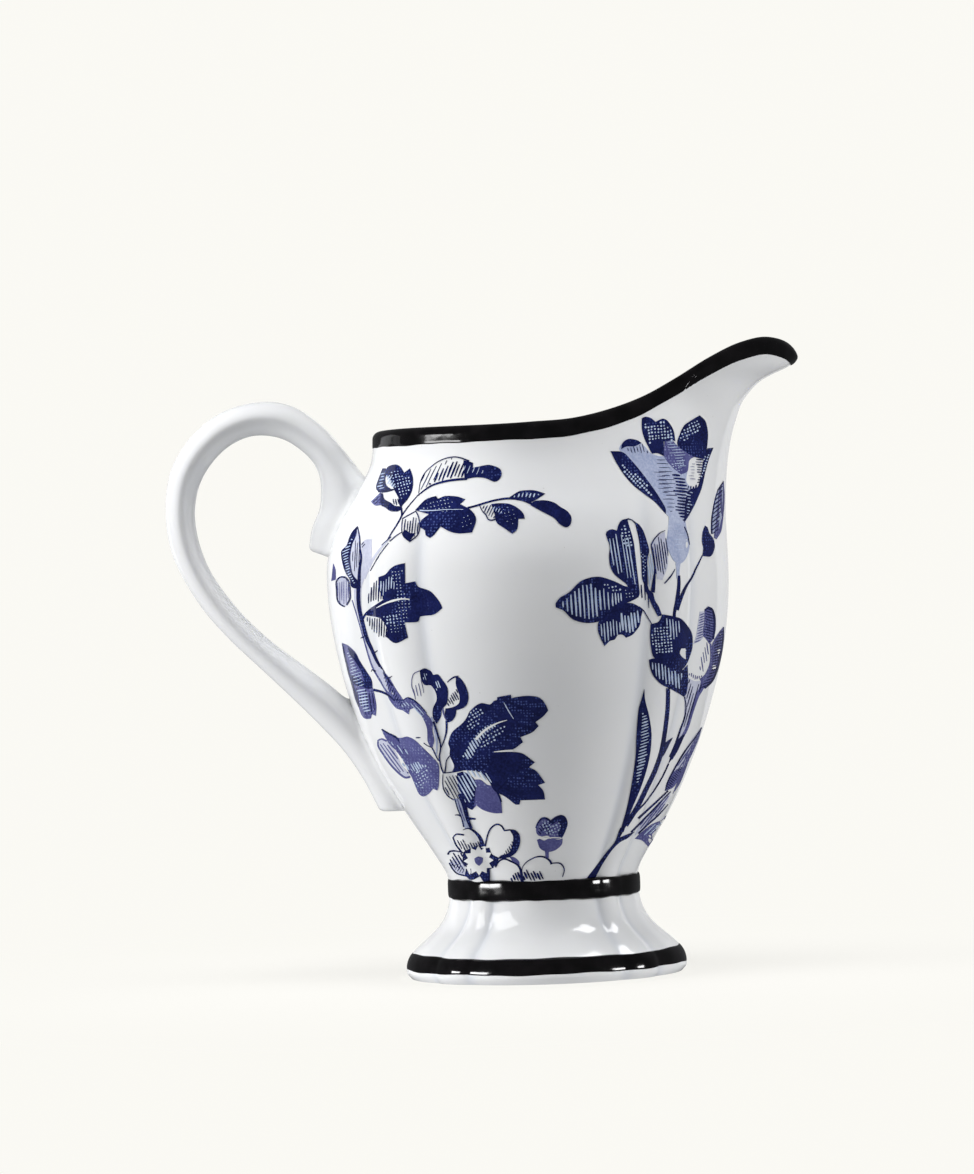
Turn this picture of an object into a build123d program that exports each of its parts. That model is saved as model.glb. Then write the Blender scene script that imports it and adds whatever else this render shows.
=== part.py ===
"""Porcelain cream jug: a fluted bowl on a pedestal foot, with a loop handle and a drawn-out pouring lip.

Frame: the origin is the centre of the foot's standing ring, +Z is up, the lip points along +X and the
handle along -X. Millimetres.

The clay pieces are the bowl, the foot and the handle, luted together with thin layers of slip. The black
bands are a ring over the waist and skins of enamel on the rim and the foot.
"""
from build123d import *

import math
import os

# Heights
FOOT_TOP = 17.2
BODY_BOTTOM = 17.6
BOWL_FLOOR = 21.8
WAIST_BAND_BOTTOM = 15.55
WAIST_BAND_TOP = 19.65
FOOT_BAND_BOTTOM = 1.9
FOOT_BAND_TOP = 5.0
LOFT_TOP = 128.0  # above the rim, which is cut out of the loft

# Thicknesses
WALL = 3.0
ENAMEL = 0.25
WAIST_BAND_PROUD = 0.5
RIM_BAND_DROP = 3.3  # how far the black comes down from the rim

# Section of the bowl and the foot: eight convex flutes, four broad panels with a narrow rib between each
# two. A groove's place is a share of the way round a quarter, from the jug's side to the handle or the lip.
FIRST_GROOVE = 0.374
SECOND_GROOVE = 0.600
ROUND = 0.5523  # the length of a Bezier's handles that makes a quarter of a circle

# The bowl's outside. Each row is the height, the reach to the handle, to each side and to the lip, the
# depth of the grooves, and the two Bezier handles of the quarter towards the lip, at the side and the lip.
BOWL = [
    (BODY_BOTTOM, 18.9, 18.6, 18.3, 0.60, ROUND, ROUND),
    (20.0, 19.4, 19.0, 18.5, 0.65, ROUND, ROUND),
    (25.0, 22.2, 21.7, 21.1, 0.75, ROUND, ROUND),
    (32.0, 26.7, 26.0, 25.3, 0.85, ROUND, ROUND),
    (42.0, 32.6, 31.4, 30.1, 0.90, ROUND, ROUND),
    (54.0, 37.1, 35.8, 34.4, 0.90, ROUND, ROUND),
    (66.0, 40.0, 38.7, 37.3, 0.90, ROUND, ROUND),
    (76.0, 41.2, 39.8, 38.3, 0.90, ROUND, ROUND),
    (84.0, 40.9, 39.6, 38.3, 0.85, ROUND, ROUND),
    (90.0, 38.8, 38.0, 38.2, 0.55, ROUND, ROUND),
    (96.0, 35.1, 35.2, 38.5, 0.15, 0.53, ROUND),
    (102.0, 31.9, 33.1, 39.2, 0.00, 0.48, 0.54),
    (108.0, 31.2, 32.4, 40.7, 0.00, 0.39, 0.50),
    (113.0, 31.2, 32.4, 43.0, 0.00, 0.29, 0.45),
    (116.5, 31.2, 32.4, 46.8, 0.00, 0.22, 0.42),
    (119.2, 31.2, 32.4, 52.6, 0.00, 0.18, 0.40),
    (121.6, 31.2, 32.4, 53.9, 0.00, 0.18, 0.40),
    (LOFT_TOP, 31.2, 32.4, 53.9, 0.00, 0.18, 0.40),
]
HOLLOW_FROM = 2  # the hollow follows the bowl from this row up
INSIDE_GROOVES = 0.35  # the hollow's grooves are this share as deep as the outside's

# The hollow's reach to the lip, by height, where the lip is thicker than the wall
INSIDE_LIP = {113.0: 40.1, 116.5: 43.3, 119.2: 46.8, 121.6: 49.4, LOFT_TOP: 50.8}

# The foot's outside: height, radius, depth of the grooves
FOOT = [
    (0.0, 26.9, 0.45),
    (0.9, 27.7, 0.50),
    (2.2, 27.7, 0.55),
    (4.4, 26.9, 0.60),
    (6.0, 25.4, 0.65),
    (7.5, 23.7, 0.65),
    (9.2, 21.8, 0.65),
    (11.3, 20.2, 0.60),
    (14.0, 19.1, 0.60),
    (FOOT_TOP, 18.7, 0.60),
]
FOOT_CENTRE_X = -0.3

# The hollow under the foot, in section: radius and height, from the standing ring to the crown
FOOT_HOLLOW = [(23.2, 0.0), (20.6, 4.6), (16.4, 8.6), (8.0, 12.0), (0.0, 12.5)]

# The top of the rim in side view, x and z, from over the handle to beyond the lip
RIM_BACK = (-60.0, 108.4)
RIM_RISE = [(0.0, 108.4), (8.0, 108.9), (15.6, 110.6), (22.2, 113.0), (28.6, 116.4), (35.3, 120.3),
            (41.7, 123.2), (47.6, 124.2), (51.5, 123.1), (54.2, 121.0)]
RIM_BEYOND = (75.0, 113.0)
RIM_CLEAR = 140.0

# The handle's sections, from the spur under the upper joint, over the loop, to the end of the tail.
# Each row is the inner edge's x and z, the outer edge's x and z, and the section's width across Y.
HANDLE = [
    (-44.7, 85.6, -35.0, 82.5, 8.6),
    (-43.9, 89.8, -33.0, 90.0, 9.4),
    (-42.1, 94.5, -31.0, 96.2, 10.2),
    (-41.9, 98.6, -33.2, 99.7, 10.2),
    (-43.1, 102.6, -37.2, 105.2, 9.6),
    (-46.1, 105.8, -41.3, 110.0, 9.0),
    (-50.3, 108.1, -48.2, 114.6, 8.6),
    (-55.0, 108.5, -55.6, 115.0, 8.4),
    (-59.2, 107.0, -62.4, 112.7, 8.4),
    (-62.8, 104.0, -67.6, 108.4, 8.4),
    (-65.7, 99.6, -71.4, 102.4, 8.4),
    (-67.0, 94.0, -72.8, 94.8, 8.4),
    (-66.5, 88.4, -72.2, 87.2, 8.4),
    (-64.6, 82.6, -69.8, 80.8, 8.4),
    (-61.2, 77.0, -65.9, 74.2, 8.4),
    (-56.6, 71.4, -60.8, 68.1, 8.4),
    (-51.7, 66.8, -55.5, 62.8, 8.6),
    (-46.0, 62.3, -49.7, 57.0, 9.0),
    (-39.6, 57.0, -44.4, 51.5, 9.6),
    (-33.6, 50.4, -39.0, 45.3, 9.6),
    (-29.4, 43.4, -35.6, 40.0, 9.0),
    (-26.6, 37.4, -33.4, 35.6, 8.2),
    (-25.4, 33.0, -32.5, 33.6, 7.6),
]
HANDLE_SLIP = 0.4


def quarter_point(reach, side, beside, at_tip, share):
    """A point of one quarter of a section, from the side, where share is 0, to the tip, where it is 1."""
    left = 1.0 - share
    from_side = left**3
    near_side = 3 * left**2 * share
    near_tip = 3 * left * share**2
    from_tip = share**3
    x = near_side * beside * reach + (near_tip + from_tip) * reach
    y = (from_side + near_side) * side + near_tip * at_tip * side
    return x, y


def groove_cut(share, depth):
    """How far the section lies inside its smooth outline: nothing at a flute's crown, all at a groove."""
    if share < FIRST_GROOVE:
        away = share / FIRST_GROOVE
    elif share < SECOND_GROOVE:
        half = (SECOND_GROOVE - FIRST_GROOVE) / 2
        away = (share - FIRST_GROOVE - half) / half
    else:
        away = (1.0 - share) / (1.0 - SECOND_GROOVE)
    return depth * away**2


def spread(start, end, count):
    """Evenly spaced numbers from start to end."""
    return [start + (end - start) * i / (count - 1) for i in range(count)]


def fluted_section(height, handle, side, lip, depth, beside=ROUND, at_tip=ROUND, centre_x=0.0):
    """A closed sketch at a height: eight curves, one for each flute, which meet at the grooves."""

    def curve(shares, x_sign, y_sign):
        points = []
        for share in shares:
            if x_sign > 0:
                x, y = quarter_point(lip, side, beside, at_tip, share)
            else:
                x, y = quarter_point(handle, side, ROUND, ROUND, share)
            scale = 1.0 - groove_cut(share, depth) / math.hypot(x, y)
            points.append((centre_x + x_sign * x * scale, y_sign * y * scale))
        return points

    to_groove = spread(0.0, FIRST_GROOVE, 4)
    across_rib = spread(FIRST_GROOVE, SECOND_GROOVE, 5)
    to_tip = spread(SECOND_GROOVE, 1.0, 5)

    # anticlockwise from the lip; a panel that crosses an axis is made of the two quarters' halves
    flutes = [
        curve(to_tip, 1, -1) + curve(to_tip[-2::-1], 1, 1),
        curve(across_rib[::-1], 1, 1),
        curve(to_groove[::-1], 1, 1) + curve(to_groove[1:], -1, 1),
        curve(across_rib, -1, 1),
        curve(to_tip, -1, 1) + curve(to_tip[-2::-1], -1, -1),
        curve(across_rib[::-1], -1, -1),
        curve(to_groove[::-1], -1, -1) + curve(to_groove[1:], 1, -1),
        curve(across_rib, 1, -1),
    ]
    with BuildSketch(Plane.XY.offset(height)) as section:
        with BuildLine():
            for flute in flutes:
                Spline(*flute)
        make_face()
    return section.sketch


def bowl_sections(grow=0.0):
    """The sections of the bowl's outside, made larger all round by grow."""
    sections = []
    for height, handle, side, lip, depth, beside, at_tip in BOWL:
        reaches = (handle + grow, side + grow, lip + grow)
        sections.append(fluted_section(height, *reaches, depth, beside, at_tip))
    return sections


def hollow_sections(grow=0.0):
    """The sections of the bowl's hollow, from its floor up, made larger all round by grow."""
    floor_inset = WALL + 4.6  # the hollow is rounded where it meets its floor
    height, handle, side, lip, _, _, _ = BOWL[HOLLOW_FROM]
    reaches = [reach - floor_inset + grow for reach in (handle, side, lip)]
    sections = [fluted_section(BOWL_FLOOR, *reaches, 0.0)]
    for height, handle, side, lip, depth, beside, at_tip in BOWL[HOLLOW_FROM:]:
        inside_lip = INSIDE_LIP.get(height, lip - WALL)
        reaches = (handle - WALL + grow, side - WALL + grow, inside_lip + grow)
        sections.append(fluted_section(height, *reaches, depth * INSIDE_GROOVES, beside, at_tip))
    return sections


def foot_sections(grow=0.0):
    """The sections of the foot's outside, made larger all round by grow."""
    sections = []
    for height, radius, depth in FOOT:
        reach = radius + grow
        sections.append(fluted_section(height, reach, reach, reach, depth, centre_x=FOOT_CENTRE_X))
    return sections


def above_rim(lift=0.0):
    """Everything above the rim's line, which is moved up by lift."""
    with BuildPart() as above:
        with BuildSketch(Plane.XZ):
            with BuildLine():
                back = (RIM_BACK[0], RIM_BACK[1] + lift)
                rise = [(x, z + lift) for x, z in RIM_RISE]
                Line(back, rise[0])
                Spline(*rise, tangents=[(1, 0), (1, -1.1)])
                Polyline(rise[-1], RIM_BEYOND, (RIM_BEYOND[0], RIM_CLEAR), (back[0], RIM_CLEAR), back)
            make_face()
        extrude(amount=60.0, both=True)
    return above.part


# Solid shapes that several pieces are cut from

with BuildPart() as bowl_outside:
    loft(bowl_sections())

with BuildPart() as bowl_and_slip:
    loft(bowl_sections(HANDLE_SLIP))

with BuildPart() as bowl_hollow:
    loft(hollow_sections())

with BuildPart() as foot_outside:
    loft(foot_sections())

# The whole handle, run on into the wall of the bowl at both ends
with BuildPart() as handle_and_roots:
    for inner_x, inner_z, outer_x, outer_z, width in HANDLE:
        middle = Vector((inner_x + outer_x) / 2, 0, (inner_z + outer_z) / 2)
        across = Vector(outer_x - inner_x, 0, outer_z - inner_z)
        along = across.cross(Vector(0, 1, 0))
        with BuildSketch(Plane(origin=middle, x_dir=across, z_dir=along)):
            Ellipse(across.length / 2, width / 2)
    loft()

# The clay pieces

with BuildPart() as body:
    add(bowl_outside.part)
    add(above_rim(), mode=Mode.SUBTRACT)
    add(bowl_hollow.part, mode=Mode.SUBTRACT)
body.part.label = "body"

with BuildPart() as foot:
    add(foot_outside.part)
    with BuildSketch(Plane.XZ):
        with BuildLine():
            Spline(*FOOT_HOLLOW, tangents=[(-0.3, 1), (-1, 0)])
            Polyline(FOOT_HOLLOW[-1], (0.0, 0.0), FOOT_HOLLOW[0])
        make_face()
    revolve(axis=Axis.Z, mode=Mode.SUBTRACT)
foot.part.label = "foot"

with BuildPart() as handle:
    add(handle_and_roots.part)
    add(bowl_and_slip.part, mode=Mode.SUBTRACT)
handle.part.label = "handle"

# The slip in the three joints

with BuildPart() as foot_slip:
    _, waist_handle, waist_side, waist_lip, waist_depth, _, _ = BOWL[0]
    add(fluted_section(FOOT_TOP, waist_handle, waist_side, waist_lip, waist_depth))
    extrude(amount=BODY_BOTTOM - FOOT_TOP)
foot_slip.part.label = "foot_slip"

with BuildPart() as handle_slips:
    add(handle_and_roots.part)
    add(bowl_and_slip.part, mode=Mode.INTERSECT)
    add(bowl_outside.part, mode=Mode.SUBTRACT)

with BuildPart() as handle_bottom_slip:
    add(handle_slips.solids().sort_by(Axis.Z)[0])
handle_bottom_slip.part.label = "handle_bottom_slip"

with BuildPart() as handle_top_slip:
    add(handle_slips.solids().sort_by(Axis.Z)[-1])
handle_top_slip.part.label = "handle_top_slip"

# The black bands

with BuildPart() as rim_band:
    loft(bowl_sections(ENAMEL))
    add(above_rim(ENAMEL), mode=Mode.SUBTRACT)
    loft(hollow_sections(-ENAMEL), mode=Mode.SUBTRACT)
    add(above_rim(-RIM_BAND_DROP), mode=Mode.INTERSECT)
    add(body.part, mode=Mode.SUBTRACT)
rim_band.part.label = "rim_band"

with BuildPart() as waist_band:
    ring_reaches = [reach + WAIST_BAND_PROUD for reach in (waist_handle, waist_side, waist_lip)]
    add(fluted_section(WAIST_BAND_BOTTOM, *ring_reaches, waist_depth))
    extrude(amount=WAIST_BAND_TOP - WAIST_BAND_BOTTOM)
    add(bowl_outside.part, mode=Mode.SUBTRACT)
    add(foot_outside.part, mode=Mode.SUBTRACT)
    add(foot_slip.part, mode=Mode.SUBTRACT)
waist_band.part.label = "waist_band"

with BuildPart() as foot_band:
    loft(foot_sections(ENAMEL))
    split(bisect_by=Plane.XY.offset(FOOT_BAND_TOP), keep=Keep.BOTTOM)
    split(bisect_by=Plane.XY.offset(FOOT_BAND_BOTTOM), keep=Keep.TOP)
    add(foot_outside.part, mode=Mode.SUBTRACT)
foot_band.part.label = "foot_band"

os.makedirs("parts", exist_ok=True)
export_step(body.part, "parts/body.step")
export_step(foot.part, "parts/foot.step")
export_step(handle.part, "parts/handle.step")
export_step(foot_slip.part, "parts/foot_slip.step")
export_step(handle_top_slip.part, "parts/handle_top_slip.step")
export_step(handle_bottom_slip.part, "parts/handle_bottom_slip.step")
export_step(rim_band.part, "parts/rim_band.step")
export_step(waist_band.part, "parts/waist_band.step")
export_step(foot_band.part, "parts/foot_band.step")
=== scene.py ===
"""The looks of the porcelain cream jug: fluted glazed clay, black bands and a blue flower print.

Shapes are worked out in millimetres in the CAD frame: +X towards the lip, -X towards the handle, -Y is the
front, and z = 0 is the table. Meshes are written in metres.
"""

import math

import bpy
import numpy as np
from mathutils import Matrix, Vector
from mathutils.geometry import delaunay_2d_cdt


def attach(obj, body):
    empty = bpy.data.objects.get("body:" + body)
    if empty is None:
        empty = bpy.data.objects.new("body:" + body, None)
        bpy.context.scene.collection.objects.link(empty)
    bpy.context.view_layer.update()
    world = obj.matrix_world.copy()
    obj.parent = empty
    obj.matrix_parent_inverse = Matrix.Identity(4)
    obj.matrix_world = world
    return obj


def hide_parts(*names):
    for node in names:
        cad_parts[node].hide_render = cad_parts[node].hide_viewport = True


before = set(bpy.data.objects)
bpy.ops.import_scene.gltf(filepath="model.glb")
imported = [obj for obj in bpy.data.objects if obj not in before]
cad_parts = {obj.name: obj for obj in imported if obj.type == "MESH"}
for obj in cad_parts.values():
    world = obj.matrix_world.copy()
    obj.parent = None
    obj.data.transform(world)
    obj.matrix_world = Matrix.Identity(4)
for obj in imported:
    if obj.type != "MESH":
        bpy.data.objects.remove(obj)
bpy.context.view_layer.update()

MM = 0.001

# ---------------------------------------------------------------- the jug's shape

# The tables are the CAD part's. The grooves are cut deeper here than there, by FLUTING, so that they show
# under soft light, and the first one is moved by a thousandth of a quarter onto a column of the mesh.

FIRST_GROOVE = 0.375
SECOND_GROOVE = 0.600
ROUND = 0.5523
GROOVE_SOFTNESS = 0.008
FLUTING = 1.35

# height, reach to the handle, to each side and to the lip, grooves' depth, fullness at the side and the lip
BOWL = [
    (17.6, 18.9, 18.6, 18.3, 0.60, ROUND, ROUND),
    (20.0, 19.4, 19.0, 18.5, 0.65, ROUND, ROUND),
    (25.0, 22.2, 21.7, 21.1, 0.75, ROUND, ROUND),
    (32.0, 26.7, 26.0, 25.3, 0.85, ROUND, ROUND),
    (42.0, 32.6, 31.4, 30.1, 0.90, ROUND, ROUND),
    (54.0, 37.1, 35.8, 34.4, 0.90, ROUND, ROUND),
    (66.0, 40.0, 38.7, 37.3, 0.90, ROUND, ROUND),
    (76.0, 41.2, 39.8, 38.3, 0.90, ROUND, ROUND),
    (84.0, 40.9, 39.6, 38.3, 0.85, ROUND, ROUND),
    (90.0, 38.8, 38.0, 38.2, 0.55, ROUND, ROUND),
    (96.0, 35.1, 35.2, 38.5, 0.15, 0.53, ROUND),
    (102.0, 31.9, 33.1, 39.2, 0.00, 0.48, 0.54),
    (108.0, 31.2, 32.4, 40.7, 0.00, 0.39, 0.50),
    (113.0, 31.2, 32.4, 43.0, 0.00, 0.29, 0.45),
    (116.5, 31.2, 32.4, 46.8, 0.00, 0.22, 0.42),
    (119.2, 31.2, 32.4, 52.6, 0.00, 0.18, 0.40),
    (121.6, 31.2, 32.4, 53.9, 0.00, 0.18, 0.40),
    (128.0, 31.2, 32.4, 53.9, 0.00, 0.18, 0.40),
]
WALL = 3.0
INSIDE_LIP = {113.0: 40.1, 116.5: 43.3, 119.2: 46.8, 121.6: 49.4, 128.0: 50.8}
INSIDE_GROOVES = 0.35
BOWL_FLOOR = 21.8
FLOOR_INSET = 7.6
BELOW_RIM = 98.0
ABOVE_RIM = 127.0
RIM = [(-60.0, 108.4), (-31.2, 108.4), (0.0, 108.4), (8.0, 108.9), (15.6, 110.6), (22.2, 113.0),
       (28.6, 116.4), (35.3, 120.3), (41.7, 123.2), (47.6, 124.2), (51.5, 123.1), (54.2, 121.0)]

# height, radius, grooves' depth
FOOT = [(0.0, 26.9, 0.45), (0.9, 27.7, 0.50), (2.2, 27.7, 0.55), (4.4, 26.9, 0.60), (6.0, 25.4, 0.65),
        (7.5, 23.7, 0.65), (9.2, 21.8, 0.65), (11.3, 20.2, 0.60), (14.0, 19.1, 0.60), (17.2, 18.7, 0.60)]
FOOT_CENTRE_X = -0.3
WAIST = BOWL[0][0]
FOOT_HOLLOW = [(0.0, 23.2), (4.6, 20.6), (8.6, 16.4), (12.0, 8.0), (12.5, 0.0)]

# inner edge's x and z, outer edge's x and z, width across Y, from the spur, over the loop, to the tail
HANDLE = [
    (-44.7, 85.6, -35.0, 82.5, 8.6),
    (-43.9, 89.8, -33.0, 90.0, 9.4),
    (-42.1, 94.5, -31.0, 96.2, 10.2),
    (-41.9, 98.6, -33.2, 99.7, 10.2),
    (-43.1, 102.6, -37.2, 105.2, 9.6),
    (-46.1, 105.8, -41.3, 110.0, 9.0),
    (-50.3, 108.1, -48.2, 114.6, 8.6),
    (-55.0, 108.5, -55.6, 115.0, 8.4),
    (-59.2, 107.0, -62.4, 112.7, 8.4),
    (-62.8, 104.0, -67.6, 108.4, 8.4),
    (-65.7, 99.6, -71.4, 102.4, 8.4),
    (-67.0, 94.0, -72.8, 94.8, 8.4),
    (-66.5, 88.4, -72.2, 87.2, 8.4),
    (-64.6, 82.6, -69.8, 80.8, 8.4),
    (-61.2, 77.0, -65.9, 74.2, 8.4),
    (-56.6, 71.4, -60.8, 68.1, 8.4),
    (-51.7, 66.8, -55.5, 62.8, 8.6),
    (-46.0, 62.3, -49.7, 57.0, 9.0),
    (-39.6, 57.0, -44.4, 51.5, 9.6),
    (-33.6, 50.4, -39.0, 45.3, 9.6),
    (-29.4, 43.4, -35.6, 40.0, 9.0),
    (-26.6, 37.4, -33.4, 35.6, 8.2),
    (-25.4, 33.0, -32.5, 33.6, 7.6),
]


def smooth_table(rows):
    """A function that reads a table at any value of its first column, on smooth curves through its rows."""
    rows = np.array(rows, float)
    at, values = rows[:, 0], rows[:, 1:]
    slopes = np.gradient(values, at, axis=0)

    def read(t):
        t = np.clip(np.asarray(t, float), at[0], at[-1])
        i = np.clip(np.searchsorted(at, t, side="right") - 1, 0, len(at) - 2)
        gap = at[i + 1] - at[i]
        w = ((t - at[i]) / gap)[..., None]
        gap = gap[..., None]
        rise = w * w * (3 - 2 * w)
        start = w * (1 - w) ** 2 * gap
        end = -w * w * (1 - w) * gap
        return values[i] * (1 - rise) + values[i + 1] * rise + slopes[i] * start + slopes[i + 1] * end

    return read


def hollow_rows():
    """The table of the hollow inside the bowl, from its floor up."""
    inset = [reach - FLOOR_INSET for reach in BOWL[2][1:4]]
    rows = [(BOWL_FLOOR, *inset, 0.0, ROUND, ROUND)]
    for height, handle, side, lip, depth, beside, at_tip in BOWL[2:]:
        inside_lip = INSIDE_LIP.get(height, lip - WALL)
        rows.append((height, handle - WALL, side - WALL, inside_lip, depth * INSIDE_GROOVES, beside, at_tip))
    return rows


bowl_at = smooth_table(BOWL)
hollow_at = smooth_table(hollow_rows())
rim_at = smooth_table(RIM)
foot_at = smooth_table(FOOT)


def groove_cut(share, depth):
    """How far a section lies inside its smooth outline, with the grooves a little rounded."""
    half = (SECOND_GROOVE - FIRST_GROOVE) / 2
    taps = (-1.0, -0.5, 0.0, 0.5, 1.0)
    total = 0.0
    for tap in taps:
        s = np.abs(share + tap * GROOVE_SOFTNESS)
        s = np.where(s > 1, 2 - s, s)
        panel = s / FIRST_GROOVE
        rib = (s - FIRST_GROOVE - half) / half
        tip = (1 - s) / (1 - SECOND_GROOVE)
        away = np.where(s < FIRST_GROOVE, panel, np.where(s < SECOND_GROOVE, rib, tip))
        total = total + away**2
    return depth * FLUTING * total / len(taps)


def section_point(around, z, columns, centre_x=0.0):
    """Points of fluted sections. around is 0 at the front, 1 at the lip, 2 at the back, 3 at the handle."""
    handle, side, lip, depth, beside, at_tip = np.moveaxis(columns, -1, 0)
    k = np.mod(around, 4.0)
    share = np.abs(np.mod(k + 1.0, 2.0) - 1.0)
    to_lip = k < 2
    y_sign = np.where((k < 1) | (k > 3), -1.0, 1.0)
    reach = np.where(to_lip, lip, handle)
    beside = np.where(to_lip, beside, ROUND)
    at_tip = np.where(to_lip, at_tip, ROUND)
    left = 1 - share
    near_side = 3 * left**2 * share
    near_tip = 3 * left * share**2
    x = (near_side * beside + near_tip + share**3) * reach
    y = (left**3 + near_side + near_tip * at_tip) * side
    scale = 1 - groove_cut(share, depth) / np.hypot(x, y)
    x = np.where(to_lip, x, -x) * scale + centre_x
    return np.stack(np.broadcast_arrays(x, y * y_sign * scale, z), -1)


def bowl_point(around, z):
    return section_point(around, z, bowl_at(z))


def hollow_point(around, z):
    return section_point(around, z, hollow_at(z))


def foot_point(around, z):
    radius, depth = np.moveaxis(foot_at(z), -1, 0)
    columns = np.stack([radius, radius, radius, depth, radius * 0 + ROUND, radius * 0 + ROUND], -1)
    return section_point(around, z, columns, FOOT_CENTRE_X)


def wall_point(around, z, across):
    """A point in the bowl's wall: across is 0 outside and 1 inside."""
    across = np.asarray(across, float)[..., None]
    return bowl_point(around, z) * (1 - across) + hollow_point(around, z) * across


def rim_height(around, across, drop):
    """The height at which the wall, at that share of its thickness, lies drop below the rim's line."""
    around, across, drop = np.broadcast_arrays(around, across, drop)
    low = np.full(around.shape, BELOW_RIM)
    high = np.full(around.shape, ABOVE_RIM)
    for _ in range(30):
        middle = (low + high) / 2
        x = wall_point(around, middle, across)[..., 0]
        above = rim_at(x)[..., 0] - drop > middle
        low = np.where(above, middle, low)
        high = np.where(above, high, middle)
    return (low + high) / 2


# ---------------------------------------------------------------- meshes from grids of points

def grid_normals(grid):
    """Outward normals of a grid of rows and closed columns, whose rows rise where its columns run round."""
    down_up = np.gradient(grid, axis=0)
    along = np.roll(grid, -1, 1) - np.roll(grid, 1, 1)
    normal = np.cross(along, down_up)
    return normal / np.maximum(np.linalg.norm(normal, axis=-1, keepdims=True), 1e-9)


def new_object(name, vertices, faces, materials):
    """A smooth mesh object from points in millimetres."""
    mesh = bpy.data.meshes.new(name)
    mesh.from_pydata([tuple(v) for v in np.asarray(vertices) * MM], [], faces)
    mesh.update()
    obj = bpy.data.objects.new(name, mesh)
    bpy.context.scene.collection.objects.link(obj)
    for material in materials:
        mesh.materials.append(material)
    for polygon in mesh.polygons:
        polygon.use_smooth = True
    return obj


def ring_faces(rows, columns, closed_rows=False):
    """Faces between rows of points that each run round in a ring."""
    faces = []
    last = rows if closed_rows else rows - 1
    for r in range(last):
        upper = (r + 1) % rows
        for c in range(columns):
            d = (c + 1) % columns
            faces.append((r * columns + c, r * columns + d, upper * columns + d, upper * columns + c))
    return faces


def tube(name, grid, materials):
    """A closed piece from rows that run round it, with its first and last row drawn in to a point."""
    rows, columns, _ = grid.shape
    faces = ring_faces(rows, columns)
    vertices = list(grid.reshape(-1, 3)) + [grid[0].mean(0), grid[-1].mean(0)]
    first, last = rows * columns, rows * columns + 1
    for c in range(columns):
        d = (c + 1) % columns
        faces.append((first, d, c))
        faces.append((last, (rows - 1) * columns + c, (rows - 1) * columns + d))
    return new_object(name, vertices, faces, materials)


def skin(name, surface, proud, buried, materials):
    """A closed ring of glaze on a surface grid: proud of it by a height for each row, and a little buried."""
    normal = grid_normals(surface)
    outside = surface + normal * np.asarray(proud)[:, None, None]
    inside = surface - normal * buried
    grid = np.concatenate([outside, inside[::-1]])
    rows, columns, _ = grid.shape
    return new_object(name, grid.reshape(-1, 3), ring_faces(rows, columns, closed_rows=True), materials)


def set_attribute(obj, name, values):
    """A number at each point of a mesh, for its material to read."""
    attribute = obj.data.attributes.new(name, "FLOAT", "POINT")
    attribute.data.foreach_set("value", np.asarray(values, np.float32).ravel())


# ---------------------------------------------------------------- materials

class Nodes:
    """A small helper that writes one material's node tree."""

    def __init__(self, name):
        self.material = bpy.data.materials.new(name)
        self.material.use_nodes = True
        self.tree = self.material.node_tree
        self.shader = self.tree.nodes["Principled BSDF"]

    def add(self, kind, inputs=(), **settings):
        node = self.tree.nodes.new(kind)
        for key, value in settings.items():
            setattr(node, key, value)
        for socket, value in dict(inputs).items():
            self.put(node.inputs[socket], value)
        return node

    def put(self, socket, value):
        if isinstance(value, bpy.types.NodeSocket):
            self.tree.links.new(value, socket)
        else:
            socket.default_value = value

    def place(self):
        return self.add("ShaderNodeTexCoord").outputs["Object"]

    def noise(self, scale, detail=2.0, roughness=0.5, where=None):
        inputs = {"Scale": scale, "Detail": detail, "Roughness": roughness, "Vector": where or self.place()}
        return self.add("ShaderNodeTexNoise", inputs).outputs["Fac"]

    def ramp(self, value, low, high, to_low=0.0, to_high=1.0):
        inputs = {"Value": value, "From Min": low, "From Max": high, "To Min": to_low, "To Max": to_high}
        return self.add("ShaderNodeMapRange", inputs, interpolation_type="SMOOTHSTEP").outputs["Result"]

    def attribute(self, name):
        return self.add("ShaderNodeAttribute", attribute_name=name).outputs["Fac"]

    def math(self, operation, a, b=0.0):
        node = self.add("ShaderNodeMath", operation=operation)
        self.put(node.inputs[0], a)
        self.put(node.inputs[1], b)
        return node.outputs[0]

    def mix(self, share, a, b):
        node = self.add("ShaderNodeMix", data_type="RGBA")
        self.put(node.inputs["Factor"], share)
        self.put(node.inputs["A"], a)
        self.put(node.inputs["B"], b)
        return node.outputs["Result"]

    def bump(self, layers):
        """Bumps laid one over another, each (height, distance in metres, strength)."""
        normal = None
        for height, distance, strength in layers:
            inputs = {"Height": height, "Distance": distance, "Strength": strength}
            if normal is not None:
                inputs["Normal"] = normal
            normal = self.add("ShaderNodeBump", inputs).outputs["Normal"]
        self.put(self.shader.inputs["Normal"], normal)

    def set(self, **values):
        for name, value in values.items():
            self.put(self.shader.inputs[name.replace("_", " ")], value)


def glaze_bumps(n):
    """The slow swell of a dipped glaze and its fine orange peel."""
    swell = n.noise(55.0, 1.0)
    peel = n.noise(900.0, 2.0)
    n.bump([(swell, 0.0006, 0.35), (peel, 0.00002, 0.25)])


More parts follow.
